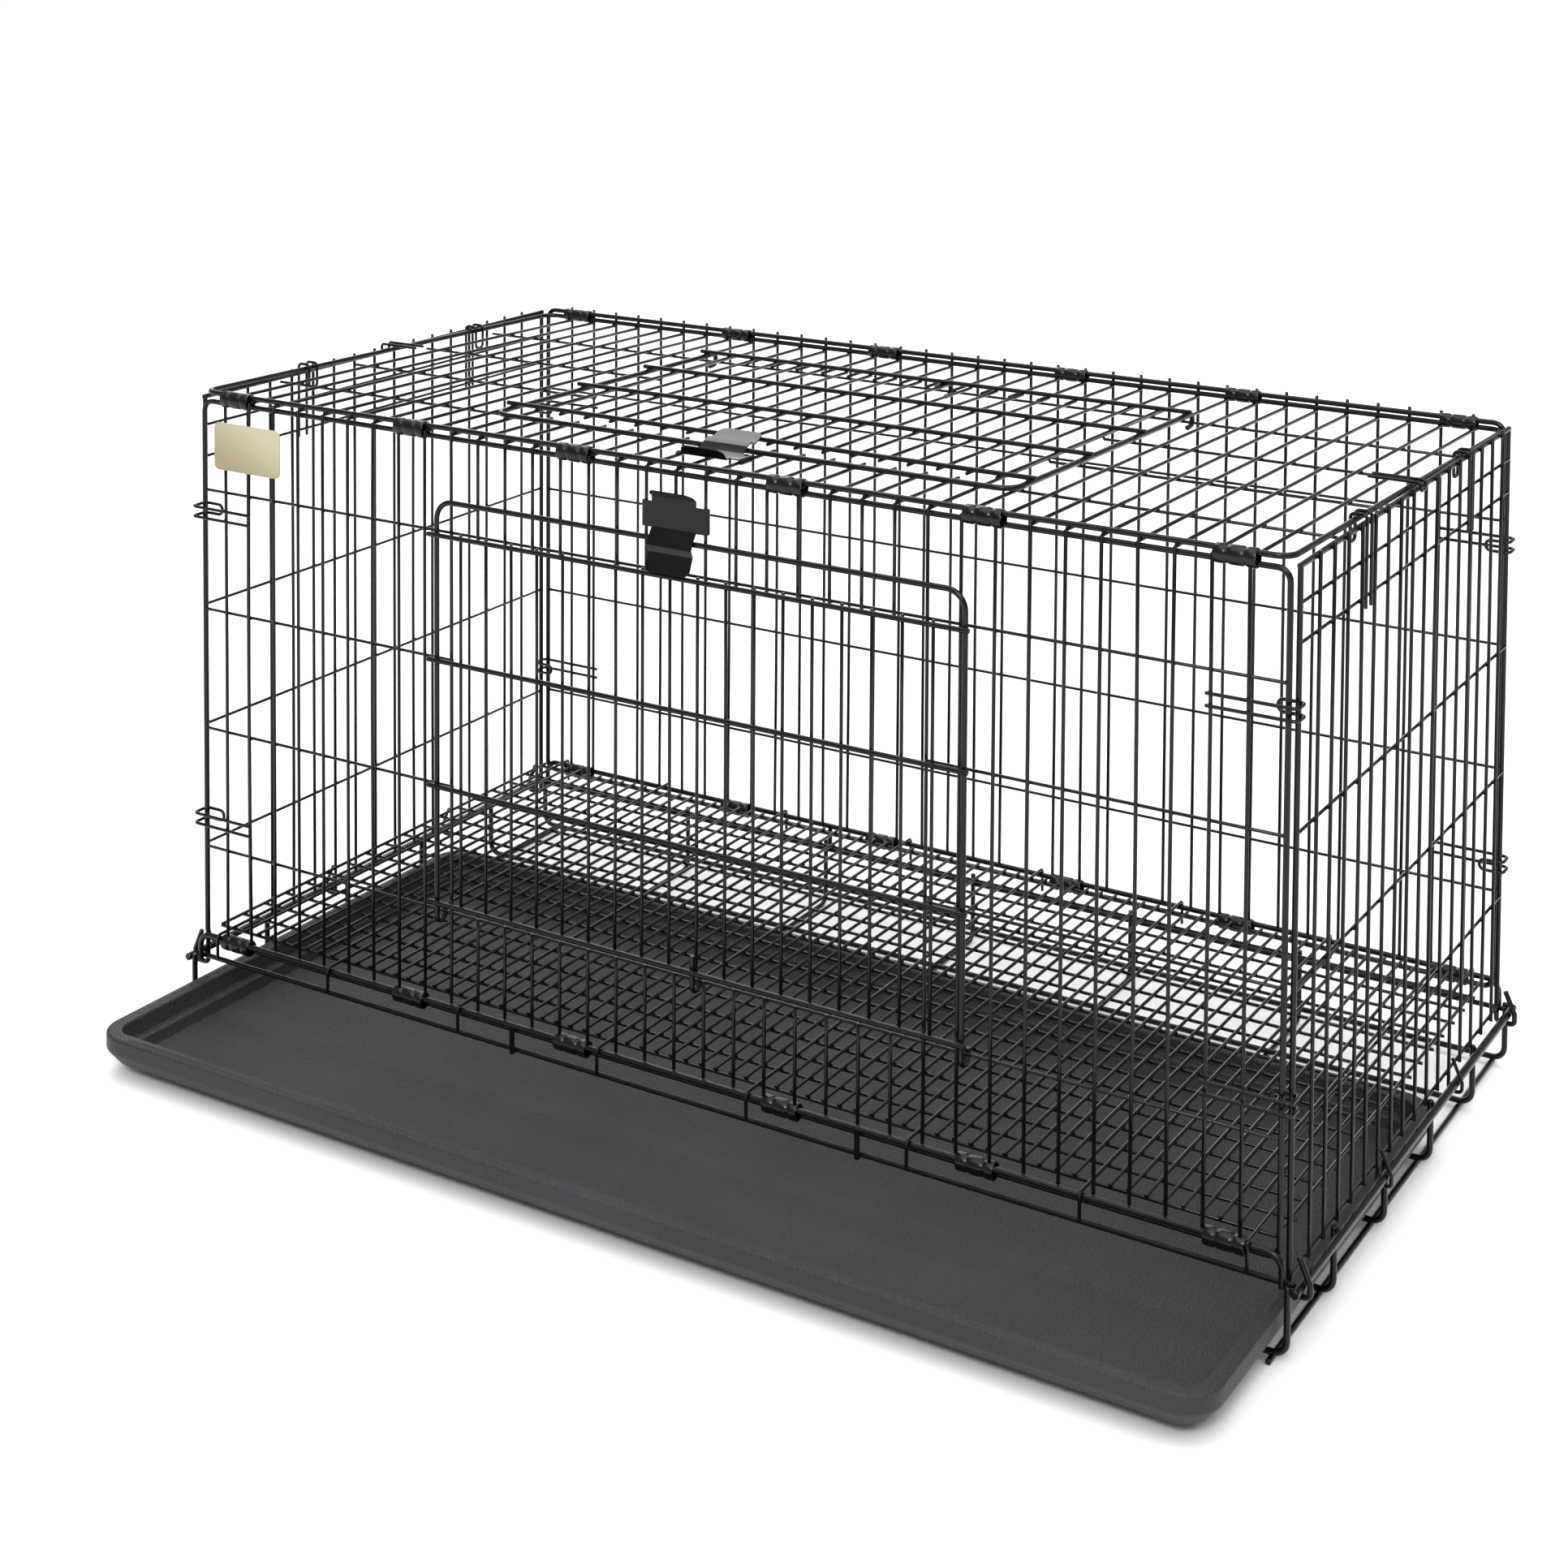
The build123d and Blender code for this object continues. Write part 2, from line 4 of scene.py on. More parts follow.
import bmesh
import bpy
import numpy as np
from bpy.props import FloatProperty, IntProperty, PointerProperty, StringProperty
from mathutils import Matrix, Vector


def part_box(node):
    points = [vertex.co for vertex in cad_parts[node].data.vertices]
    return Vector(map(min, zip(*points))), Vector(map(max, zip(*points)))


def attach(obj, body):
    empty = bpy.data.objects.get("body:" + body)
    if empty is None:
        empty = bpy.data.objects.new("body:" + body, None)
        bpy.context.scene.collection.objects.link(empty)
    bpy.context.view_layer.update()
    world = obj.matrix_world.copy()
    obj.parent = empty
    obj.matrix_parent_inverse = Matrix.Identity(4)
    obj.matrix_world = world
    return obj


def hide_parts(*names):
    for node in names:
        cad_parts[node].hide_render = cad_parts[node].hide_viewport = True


bl_info = {
    "name": "Folding wire cage",
    "version": (1, 0, 0),
    "blender": (4, 5, 0),
    "location": "3D View > Sidebar > Cage",
    "description": "Draws a folding wire pet cage round its packed frame",
    "category": "Object",
}

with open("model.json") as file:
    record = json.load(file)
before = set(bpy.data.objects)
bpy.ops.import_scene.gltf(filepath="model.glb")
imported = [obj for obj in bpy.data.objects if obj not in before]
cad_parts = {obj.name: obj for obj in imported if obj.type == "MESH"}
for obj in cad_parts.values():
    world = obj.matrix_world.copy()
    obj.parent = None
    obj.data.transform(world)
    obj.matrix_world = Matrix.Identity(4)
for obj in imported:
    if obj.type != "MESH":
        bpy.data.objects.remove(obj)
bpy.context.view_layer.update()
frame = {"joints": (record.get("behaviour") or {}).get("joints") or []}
MM = 0.001


def span(node):
    """The lowest and highest corner of a frame node, in millimetres."""
    low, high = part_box(node)
    return np.array(low) / MM, np.array(high) / MM


# Places read from the frame, in millimetres

BORDER_LOW, BORDER_HIGH = span("front_panel_border")
BORDER_D = BORDER_HIGH[1] - BORDER_LOW[1]
HALF_WIDTH = BORDER_HIGH[0] - BORDER_D / 2
HALF_DEPTH = -(BORDER_HIGH[1] + BORDER_LOW[1]) / 2
FRONT_BOTTOM = BORDER_LOW[2] + BORDER_D / 2
FRONT_TOP = BORDER_HIGH[2] - BORDER_D / 2
BACK_TOP = span("back_panel_border")[1][2] - BORDER_D / 2
BAYS = 36
PITCH = 2 * HALF_WIDTH / BAYS
DOOR_BAYS = 8
DOOR_EDGE = DOOR_BAYS * PITCH
COLUMNS = np.arange(1 - BAYS // 2, BAYS // 2) * PITCH
BESIDE_DOOR = COLUMNS[np.abs(COLUMNS) > DOOR_EDGE - 1]
OVER_DOOR = COLUMNS[np.abs(COLUMNS) < DOOR_EDGE - 1]
UPRIGHT_LOW, UPRIGHT_HIGH = span("front_panel_uprights")
MESH_D = UPRIGHT_HIGH[1] - UPRIGHT_LOW[1]
MESH_Y = -(UPRIGHT_LOW[1] + UPRIGHT_HIGH[1]) / 2
CROSS_LOW, CROSS_HIGH = span("front_panel_cross_wires")
CROSS_D = CROSS_HIGH[1] - CROSS_LOW[1]
CROSS_Y = -(CROSS_LOW[1] + CROSS_HIGH[1]) / 2
CROSS_LEVELS = np.linspace(CROSS_LOW[2] + CROSS_D / 2, CROSS_HIGH[2] - CROSS_D / 2, 4)

LID_LOW, LID_HIGH = span("top_panel_border")
LID_FALL = (LID_HIGH[2] - LID_LOW[2] - BORDER_D) / (2 * HALF_DEPTH)
LID_MIDDLE = (LID_HIGH[2] + LID_LOW[2]) / 2
LID_SLANT = math.hypot(1.0, LID_FALL)
LID_UP = np.array([0.0, LID_FALL, 1.0]) / LID_SLANT
LID_BACKWARD = np.array([0.0, 1.0, -LID_FALL]) / LID_SLANT
LID_REACH = HALF_DEPTH * LID_SLANT
LID_CROSS_AT = np.array([-147.0, -49.0, 49.0, 147.0])
LID_MESH_W = -(MESH_Y - HALF_DEPTH)
LID_CROSS_W = LID_MESH_W - (MESH_D + CROSS_D) / 2

ROD_LOW, ROD_HIGH = span("base_rod_right")
ROD_D = ROD_HIGH[0] - ROD_LOW[0]
ROD_X = (ROD_LOW[0] + ROD_HIGH[0]) / 2
ROD_Z = (ROD_LOW[2] + ROD_HIGH[2]) / 2
GRID_LOW, GRID_HIGH = span("floor_short_wires")
TRAY_LOW, TRAY_HIGH = span("slide_out_tray")

FRONT_HINGE, TOP_HINGE = (
    np.array(next(j["pos_m"] for j in frame["joints"] if j["name"] == name)) / MM
    for name in ("front_door_hinge", "top_door_hinge")
)


# Shapes

# A cut end's bevel: how far back it starts and how wide it leaves the end, in wire radii
CUT_BACK = 0.25
CUT_WIDTH = 0.78
# Wires shorter than this bow less
BOW_LENGTH = 400.0


def bend(points, radius, steps=7, close=False):
    """A centre line of straight runs whose corners are arcs of one radius, tangent to both runs.

    At a corner with unit directions a in and b out, the arc starts radius * tan(turn / 2) before
    it, and its points are centre + radius * (cos t * u + sin t * a), u pointing from the centre
    to the arc's start.
    """
    points = np.asarray(points, float)
    count = len(points)
    line = [] if close else [points[:1]]
    for i in range(count) if close else range(1, count - 1):
        corner = points[i]
        a = corner - points[i - 1]
        b = points[(i + 1) % count] - corner
        a /= np.linalg.norm(a)
        b /= np.linalg.norm(b)
        turn = math.acos(np.clip(a @ b, -1, 1))
        if turn < 1e-4:
            continue
        back = radius * math.tan(turn / 2)
        inward = b - a * (a @ b)
        inward /= np.linalg.norm(inward)
        centre = corner - a * back + inward * radius
        t = np.linspace(0, turn, steps)[:, None]
        line.append(centre - radius * np.cos(t) * inward + radius * np.sin(t) * a)
    if not close:
        line.append(points[-1:])
    return np.concatenate(line)


def tube(line, diameter, sides=12, close=False):
    """A round wire: a circle carried along the line, with a small bevel at each cut end.

    The circle's first axis at each station is the last one's with its part along the new tangent
    taken away, and a station's points are line + r * (cos t * axis + sin t * side).
    """
    line = np.asarray(line, float)
    r = diameter / 2
    if close:
        tangent = np.roll(line, -1, 0) - np.roll(line, 1, 0)
    else:
        tangent = np.gradient(line, axis=0)
    tangent /= np.linalg.norm(tangent, axis=1)[:, None]
    axis = np.cross(tangent[0], [0.31, 0.52, 0.79])
    axes = []
    for direction in tangent:
        axis = axis - direction * (axis @ direction)
        axis /= np.linalg.norm(axis)
        axes.append(axis)
    axes = np.array(axes)
    if not close:
        cut = CUT_BACK * r
        line = np.concatenate([line[:1], line[:1] + tangent[:1] * cut, line[1:-1]] +
                              [line[-1:] - tangent[-1:] * cut, line[-1:]])
        tangent = np.concatenate([tangent[:1], tangent, tangent[-1:]])
        axes = np.concatenate([axes[:1], axes, axes[-1:]])
    radii = np.full(len(line), r)
    if not close:
        radii[[0, -1]] = CUT_WIDTH * r
    side = np.cross(tangent, axes)
    t = np.arange(sides) * 2 * math.pi / sides
    ring = np.cos(t)[None, :, None] * axes[:, None] + np.sin(t)[None, :, None] * side[:, None]
    verts = line[:, None] + radii[:, None, None] * ring
    stations = len(line)
    i = np.arange(stations if close else stations - 1)[:, None] * sides
    j = np.arange(sides)[None, :]
    k = (j + 1) % sides
    up = (i + sides) % (stations * sides)
    faces = np.stack([i + j, i + k, up + k, up + j], -1).reshape(-1, 4).tolist()
    if not close:
        faces.append(list(range(sides))[::-1])
        faces.append(list(range((stations - 1) * sides, stations * sides)))
    return verts.reshape(-1, 3), faces


def wires(starts, ends, diameter, sides=10, bow=0.35, seed=1):
    """Many straight wires at once, each a little bowed as real drawn wire is.

    Station s of a wire is start + s * (end - start) + bow * sin(pi * s) * w, w a fixed sideways
    direction for that wire; its two end rings are smaller, which bevels the cut ends.
    """
    starts, ends = np.broadcast_arrays(np.asarray(starts, float), np.asarray(ends, float))
    length = np.linalg.norm(ends - starts, axis=1)
    along = (ends - starts) / length[:, None]
    spare = np.where(np.abs(along[:, 2:]) > 0.9, [[1.0, 0, 0]], [[0, 0, 1.0]])
    axis = np.cross(along, spare)
    axis /= np.linalg.norm(axis, axis=1)[:, None]
    side = np.cross(along, axis)
    chance = np.random.default_rng(seed)
    amount = chance.normal(0, bow, (2, len(starts))) * np.minimum(1, length / BOW_LENGTH) ** 2
    r = diameter / 2
    cut = CUT_BACK * r / length
    s = np.stack([0 * cut, cut] + [0 * cut + v for v in (0.25, 0.5, 0.75)] + [1 - cut, 1 + 0 * cut], 1)
    lift = np.sin(math.pi * s)
    centre = starts[:, None] + s[..., None] * (ends - starts)[:, None]
    centre += (lift * amount[0][:, None])[..., None] * axis[:, None]
    centre += (lift * amount[1][:, None])[..., None] * side[:, None]
    radii = np.array([CUT_WIDTH, 1, 1, 1, 1, 1, CUT_WIDTH]) * r
    t = np.arange(sides) * 2 * math.pi / sides
    ring = np.cos(t)[:, None] * axis[:, None] + np.sin(t)[:, None] * side[:, None]
    verts = centre[:, :, None] + radii[None, :, None, None] * ring[:, None]
    count, stations = s.shape
    base = (np.arange(count) * stations * sides)[:, None, None]
    i = np.arange(stations - 1)[None, :, None] * sides
    j = np.arange(sides)[None, None, :]
    k = (j + 1) % sides
    quads = np.stack([base + i + j, base + i + k, base + i + sides + k, base + i + sides + j], -1)
    first = (base[:, :, 0] + np.arange(sides)[::-1]).tolist()
    last = (base[:, :, 0] + (stations - 1) * sides + np.arange(sides)).tolist()
    return verts.reshape(-1, 3), quads.reshape(-1, 4).tolist() + first + last


def welds(points, radius, stretch=(1.0, 1.0, 1.0), around=6):
    """Small weld beads: low spheres, point + radius * stretch * (cos b cos a, cos b sin a, sin b)."""
    points = np.asarray(points, float)
    a = np.arange(around) * 2 * math.pi / around
    rows = []
    for b in (-0.6, 0.6):
        rows.append(np.stack([np.cos(b) * np.cos(a), np.cos(b) * np.sin(a), np.sin(b) + 0 * a], -1))
    ball = np.concatenate([[[0, 0, -1.0]], *rows, [[0, 0, 1.0]]]) * radius * np.asarray(stretch)
    j = np.arange(around)
    k = (j + 1) % around
    one = [[0, 1 + q, 1 + p] for p, q in zip(j, k)]
    one += [[1 + p, 1 + q, 1 + around + q, 1 + around + p] for p, q in zip(j, k)]
    one += [[1 + around + p, 1 + around + q, 1 + 2 * around] for p, q in zip(j, k)]
    verts = points[:, None] + ball[None]
    faces = [[v + n * len(ball) for v in face] for n in range(len(points)) for face in one]
    return verts.reshape(-1, 3), faces


def crossings(xs, ys):
    """Every pair of one value of xs with one of ys, as two flat arrays."""
    a, b = np.meshgrid(xs, ys, indexing="ij")
    return a.ravel(), b.ravel()


def rows(*columns):
    """Points from coordinates, any of which may be one number for them all."""
    return np.stack(np.broadcast_arrays(*[np.asarray(c, float) for c in columns]), -1)


def strung(at, low, high, diameter, bow=0.35, seed=1):
    """Straight wires from low to high, at(v) being their points at v."""
    return wires(at(low), at(high), diameter, bpy.context.scene.cage_wires.sides, bow, seed)


def bent_wire(route, radius, diameter, sides=14):
    """A round wire along a route whose corners are bent to one radius."""
    return tube(bend(route, radius), diameter, sides)


def closed_sheet(grid):
    """Faces of a grid of points [u, v] that closes along v, with both ends of u filled."""
    n, m = grid.shape[:2]
    i = np.arange(n - 1)[:, None] * m
    j = np.arange(m)[None, :]
    k = (j + 1) % m
    faces = np.stack([i + j, i + k, i + m + k, i + m + j], -1).reshape(-1, 4).tolist()
    faces.append(list(range(m))[::-1])
    faces.append(list(range((n - 1) * m, n * m)))
    return grid.reshape(-1, 3), faces


def add_object(name, data):
    """A new object in the scene."""
    thing = bpy.data.objects.new(name, data)
    bpy.context.scene.collection.objects.link(thing)
    return thing


def make_piece(name, parts, kind, body, node, slot, sharp=40.0):
    """Joins the parts into one mesh, in metres, and stands it in for its frame node."""
    verts = []
    faces = []
    count = 0
    for points, polygons in parts:
        verts.append(points)
        faces += [[v + count for v in face] for face in polygons]
        count += len(points)
    mesh = bpy.data.meshes.new(name)
    mesh.from_pydata((np.concatenate(verts) * MM).tolist(), [], faces)
    mesh.update()
    mesh.polygons.foreach_set("use_smooth", np.ones(len(mesh.polygons), bool))
    mesh.set_sharp_from_angle(angle=math.radians(sharp))
    mesh.materials.append(finish_material(kind))
    piece = add_object(name, mesh)
    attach(piece, body)
    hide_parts(node)
    return piece


def turned_piece(*details):
    """A piece whose faces are turned outward once it is made."""
    piece = make_piece(*details)
    work = bmesh.new()
    work.from_mesh(piece.data)
    bmesh.ops.recalc_face_normals(work, faces=work.faces)
    work.to_mesh(piece.data)
    work.free()


def wire_piece(name, parts, body="cage"):
    """A piece of black coated wire that stands in for the node of its name."""
    make_piece(f"{name}_wire", parts, "wire", body, name, "black_wire")


# Materials

WIRE_COAT = 0.2
SHEET_ROUGHNESS = 0.14
SHEET_COAT = 0.15
CLIP_ROUGHNESS = 0.26
CLIP_COAT = 0.25


def linear(code):
    """An sRGB hex colour as linear RGBA."""
    values = [int(code[i : i + 2], 16) / 255 for i in (1, 3, 5)]
    return [v / 12.92 if v <= 0.04045 else ((v + 0.055) / 1.055) ** 2.4 for v in values] + [1.0]


def add_node(tree, kind, settings=None, values=None, links=None):
    """Adds one shader node, sets its properties and sockets, and links its inputs."""
    node = tree.nodes.new(kind)
    for key, value in (settings or {}).items():
        setattr(node, key, value)
    for key, value in (values or {}).items():
        node.inputs[key].default_value = value
    for key, source in (links or {}).items():
        tree.links.new(source, node.inputs[key])
    return node


def new_material(name):
    """An empty material with its output node and object coordinates."""
    material = bpy.data.materials.new(name)
    material.use_nodes = True
    tree = material.node_tree
    tree.nodes.clear()
    output = tree.nodes.new("ShaderNodeOutputMaterial")
    place = tree.nodes.new("ShaderNodeTexCoord")
    return material, tree, output, place.outputs["Object"]


def noise(tree, place, scale, detail):
    """Soft noise over the object, from 0 to 1."""
    node = add_node(tree, "ShaderNodeTexNoise", None, {"Scale": scale, "Detail": detail}, {"Vector": place})
    return node.outputs["Fac"]


def two_tone(tree, share, first, second, first_at=0.0, second_at=1.0):
    """A colour that goes from the first to the second between two values of the share."""
    node = add_node(tree, "ShaderNodeValToRGB", links={"Fac": share})
    for i, (code, at) in enumerate(((first, first_at), (second, second_at))):
        node.color_ramp.elements[i].position = at
        node.color_ramp.elements[i].color = linear(code)
    return node.outputs["Color"]


def between(tree, share, low, high):
    """A value that is low where the share is 0 and high where it is 1."""
    node = add_node(tree, "ShaderNodeMapRange", None, {"To Min": low, "To Max": high}, {"Value": share})
    return node.outputs["Result"]


def bumpy(tree, height, strength, distance):
    """A normal tilted by a height that is at most the distance, in metres."""
    values = {"Strength": strength, "Distance": distance}
    return add_node(tree, "ShaderNodeBump", None, values, {"Height": height}).outputs["Normal"]


def surface(tree, output, values, links=None):
    """Ends a material with its Principled shader."""
    shader = add_node(tree, "ShaderNodeBsdfPrincipled", None, values, links)
    tree.links.new(shader.outputs["BSDF"], output.inputs["Surface"])


def coated_steel(name, colour, worn, roughness, coat):
    """Drawn steel wire under glossy black electro-coat paint.

    The coat is near black with a faint warm cast, pools unevenly and has a fine orange peel, so
    its highlights are long, sharp and a little broken.
    """
    material, tree, output, place = new_material(name)
    cloud = noise(tree, place, 55.0, 4.0)
    peel = noise(tree, place, 900.0, 2.0)
    values = {"IOR": 1.5, "Specular IOR Level": 0.2, "Coat Weight": coat, "Coat Roughness": 0.08}
    links = {
        "Base Color": two_tone(tree, cloud, colour, worn, 0.42, 0.78),
        "Roughness": between(tree, cloud, roughness * 0.8, roughness * 1.5),
        "Normal": bumpy(tree, peel, 0.12, 0.0002),
    }
    surface(tree, output, values, links)
    return material


def moulded_tray_plastic(name, colour, light, roughness):
    """Vacuum-formed ABS sheet with a leather grain: dull charcoal whose raised pebbles catch light."""
    material, tree, output, place = new_material(name)
    pebble = add_node(tree, "ShaderNodeTexVoronoi", values={"Scale": 520.0}, links={"Vector": place})
    crease = noise(tree, place, 1100.0, 5.0)
    cloud = noise(tree, place, 9.0, 3.0)
    grain = add_node(tree, "ShaderNodeMath", {"operation": "MULTIPLY_ADD"}, {1: 0.6},
                     {0: crease, 2: pebble.outputs["Distance"]})
    links = {
        "Base Color": two_tone(tree, cloud, colour, light, 0.3, 0.75),
        "Roughness": between(tree, crease, roughness * 0.85, roughness * 1.15),
        "Normal": bumpy(tree, grain.outputs["Value"], 0.8, 0.0007),
    }
    surface(tree, output, {"IOR": 1.5, "Specular IOR Level": 0.35}, links)
    return material


def printed_label_plastic(name, colour, light):
    """A thin printed polystyrene label card, metallic cream that darkens slowly down its face."""
    material, tree, output, place = new_material(name)
    turned = add_node(tree, "ShaderNodeMapping", None,
                      {"Rotation": (0, math.radians(60), 0), "Scale": (9, 9, 9)}, {"Vector": place})
    band = add_node(tree, "ShaderNodeTexWave", {"wave_profile": "SIN"},
                    {"Scale": 0.35, "Distortion": 1.5, "Phase Offset": 1.2},
                    {"Vector": turned.outputs["Vector"]})
    links = {
        "Base Color": two_tone(tree, band.outputs["Fac"], colour, light),
        "Normal": bumpy(tree, noise(tree, place, 1500.0, 2.0), 0.1, 0.0001),
    }
    surface(tree, output, {"IOR": 1.5, "Roughness": 0.38, "Metallic": 0.15}, links)
    return material


def finish_material(kind):
    """The object's own material of one kind, made the first time it is asked for."""
    look = bpy.context.scene.cage_finish
    black = (look.wire_colour, look.wire_worn)
    name, make, *values = {
        "wire": ("black electro-coated steel wire", coated_steel, *black, look.wire_roughness, WIRE_COAT),
        "sheet": ("black electro-coated steel sheet", coated_steel, *black, SHEET_ROUGHNESS, SHEET_COAT),
        "clip": ("black crimped steel clip", coated_steel, *black, CLIP_ROUGHNESS, CLIP_COAT),
        "tray": ("charcoal vacuum-formed ABS", moulded_tray_plastic, look.tray_colour, look.tray_light,
                 look.tray_roughness),
        "label": ("cream printed label card", printed_label_plastic, look.label_colour, look.label_light),
    }[kind]
    return bpy.data.materials.get(name) or make(name, *values)


# Settings


class CageWireSettings(bpy.types.PropertyGroup):
    """Sizes of the wires that a user would change."""

    bend_radius: FloatProperty(
        name="Corner bend", description="Bend radius of a panel's corners", default=8.5, min=3.0
    )
    lid_bend_radius: FloatProperty(
        name="Top corner bend", description="Bend radius of the top panel's corners", default=12.0, min=3.0
    )
    wobble: FloatProperty(
        name="Wobble", description="How far a wire bows from straight, in millimetres", default=0.35, min=0.0
    )
    weld_size: FloatProperty(
        name="Weld size", description="Radius of a weld bead over the wire's radius", default=1.12, min=0.5
    )
    sides: IntProperty(name="Sides", description="Sides of a thin wire's section", default=10, min=6)


class CageFinishSettings(bpy.types.PropertyGroup):
    """Colours and gloss of the finishes."""

    wire_colour: StringProperty(
        name="Wire colour", description="sRGB hex colour of the coat", default="#080707"
    )
    wire_worn: StringProperty(
        name="Wire thin coat", description="sRGB hex where the coat is thin", default="#120F0E"
    )
    wire_roughness: FloatProperty(
        name="Wire roughness", description="Roughness of the wire's coat", default=0.24, min=0.0, max=1.0
    )
    tray_colour: StringProperty(
        name="Tray colour", description="sRGB hex colour of the tray", default="#262729"
    )
    tray_light: StringProperty(
        name="Tray light", description="sRGB hex of its lighter parts", default="#2F3033"
    )
    tray_roughness: FloatProperty(
        name="Tray roughness", description="Roughness of the moulded grain", default=0.5, min=0.0, max=1.0
    )
    label_colour: StringProperty(
        name="Label colour", description="sRGB hex colour of the card", default="#9A9072"
    )
    label_light: StringProperty(
        name="Label light", description="sRGB hex of its lighter parts", default="#BDB59A"
    )


class CageStageSettings(bpy.types.PropertyGroup):
    """Light strengths of the stage."""

    key_power: FloatProperty(
        name="Key light", description="Power of the small light in front", default=55.0, min=0.0, unit="POWER"
    )
    back_power: FloatProperty(
        name="Backdrop light", description="Power of the light behind", default=40.0, min=0.0, unit="POWER"
    )
    strip_power: FloatProperty(
        name="Upper light",
        description="Power of the light above and behind",
        default=14.0,
        min=0.0,
        unit="POWER",
    )
    overhead: FloatProperty(
        name="Overhead", description="Strength of the wide light above", default=2.7, min=0.0
    )
    sky: FloatProperty(name="Sky", description="Strength of the light from all round", default=0.5, min=0.0)


# Pieces, with the sizes that the frame doesn't give, in millimetres

RUNNER_D = 4.5
RUNNER_BEND = 9.5
RUNNER_Y = np.array([-244.0, -156.5, -52.0, 52.0, 156.5, 244.0])
GROUND_WIRE_D = 4.0
GROUND_WIRE_BEND = 8.0
GROUND_WIRE_X = 4.0 + 148.5 * np.arange(-2, 3)
RAIL_D = 4.5
RAIL_BEND = 10.0
RAIL_END = 460.5
LOWER_RAIL_Z = 49.5
BASE_UPRIGHT_X = (-145.0, 152.5)
BASE_UPRIGHT_D = 4.0


class CAGE_OT_base(bpy.types.Operator):
    """Draws the base: side rods, ground bars, runners, ground wires and the two base frames."""

    bl_idname = "cage.base"
    bl_label = "Base"

    def execute(self, context):
        for side in ("left", "right"):
            low, high = span(f"base_rod_{side}")
            line = rows((low[0] + high[0]) / 2, np.linspace(low[1], high[1], 5), ROD_Z)
            wire_piece(f"base_rod_{side}", [tube(line, ROD_D, 20)])
            low, high = span(f"ground_bar_{side}")
            middle = (low + high) / 2
            line = rows(middle[0], np.linspace(low[1], high[1], 5), middle[2])
            wire_piece(f"ground_bar_{side}", [tube(line, high[2] - low[2], 14)])
        low, high = span("ground_runners")
        leg = high[0] - RUNNER_D / 2
        level = low[2] + RUNNER_D / 2
        parts = []
        for y in RUNNER_Y:
            route = [(-leg, y, high[2]), (-leg, y, level), (leg, y, level), (leg, y, high[2])]
            parts.append(bent_wire(route, RUNNER_BEND, RUNNER_D))
        sign, y = crossings((-1, 1), RUNNER_Y)
        parts.append(welds(rows(sign * (leg + RUNNER_D / 2), y, ROD_Z), 2.2, (0.35, 1.0, 1.0)))
        wire_piece("ground_runners", parts)
        low, high = span("ground_wires")
        parts = []
        r = GROUND_WIRE_D / 2
        for x in GROUND_WIRE_X:
            route = [(x, high[1] - r, high[2]), (x, high[1] - r, r), (x, low[1], r)]
            parts.append(bent_wire(route, GROUND_WIRE_BEND, GROUND_WIRE_D))
        wire_piece("ground_wires", parts)
        for place, way in (("front", -1), ("back", 1)):
            low, high = span(f"base_frame_{place}")
            outer = way * (max(abs(low[1]), abs(high[1])) - RAIL_D / 2)
            level = high[2] - RAIL_D / 2
            route = [(-RAIL_END, outer, low[2]), (-RAIL_END, outer, level)]
            route += [(RAIL_END, outer, level), (RAIL_END, outer, low[2])]
            rail = rows(np.linspace(low[0], high[0], 7), way * HALF_DEPTH, LOWER_RAIL_Z)
            parts = [bent_wire(route, RAIL_BEND, RAIL_D), tube(rail, BASE_UPRIGHT_D, 14)]
            for x in BASE_UPRIGHT_X:
                upright = rows(x, outer, np.linspace(low[2], level, 3))
                parts.append(tube(upright, BASE_UPRIGHT_D, 14))
                parts.append(welds([[x, outer - way * 2.2, LOWER_RAIL_Z]], 2.4, (1.1, 0.5, 1.1), 8))
            wire_piece(f"base_frame_{place}", parts)
        return {"FINISHED"}


# How far a wire that the doorway cuts runs past its last cross wire
OVERRUN = 2.0
EDGE_WELD_OUT = 2.0
EDGE_WELD_RADIUS = 1.9


def doorway_mesh(upright, across, low, high, levels, reach, seed):
    """The uprights, cross wires and crossings of a panel round its doorway.

    upright(columns, low, high) and across(levels, low, high) make the wires of the panel.
    """
    bow = bpy.context.scene.cage_wires.wobble
    uprights = [
        upright(BESIDE_DOOR, low, high, bow, seed),
        upright(OVER_DOOR, low, levels[0] + OVERRUN),
        upright(OVER_DOOR, levels[-1] - OVERRUN, high),
    ]
    cross = [
        across(levels[[0, -1]], -reach, reach),
        across(levels[1:-1], -reach, -DOOR_EDGE),
        across(levels[1:-1], DOOR_EDGE, reach),
    ]
    met = [crossings(BESIDE_DOOR, levels), crossings(OVER_DOOR, levels[[0, -1]])]
    return uprights, cross, np.concatenate(met, axis=1)


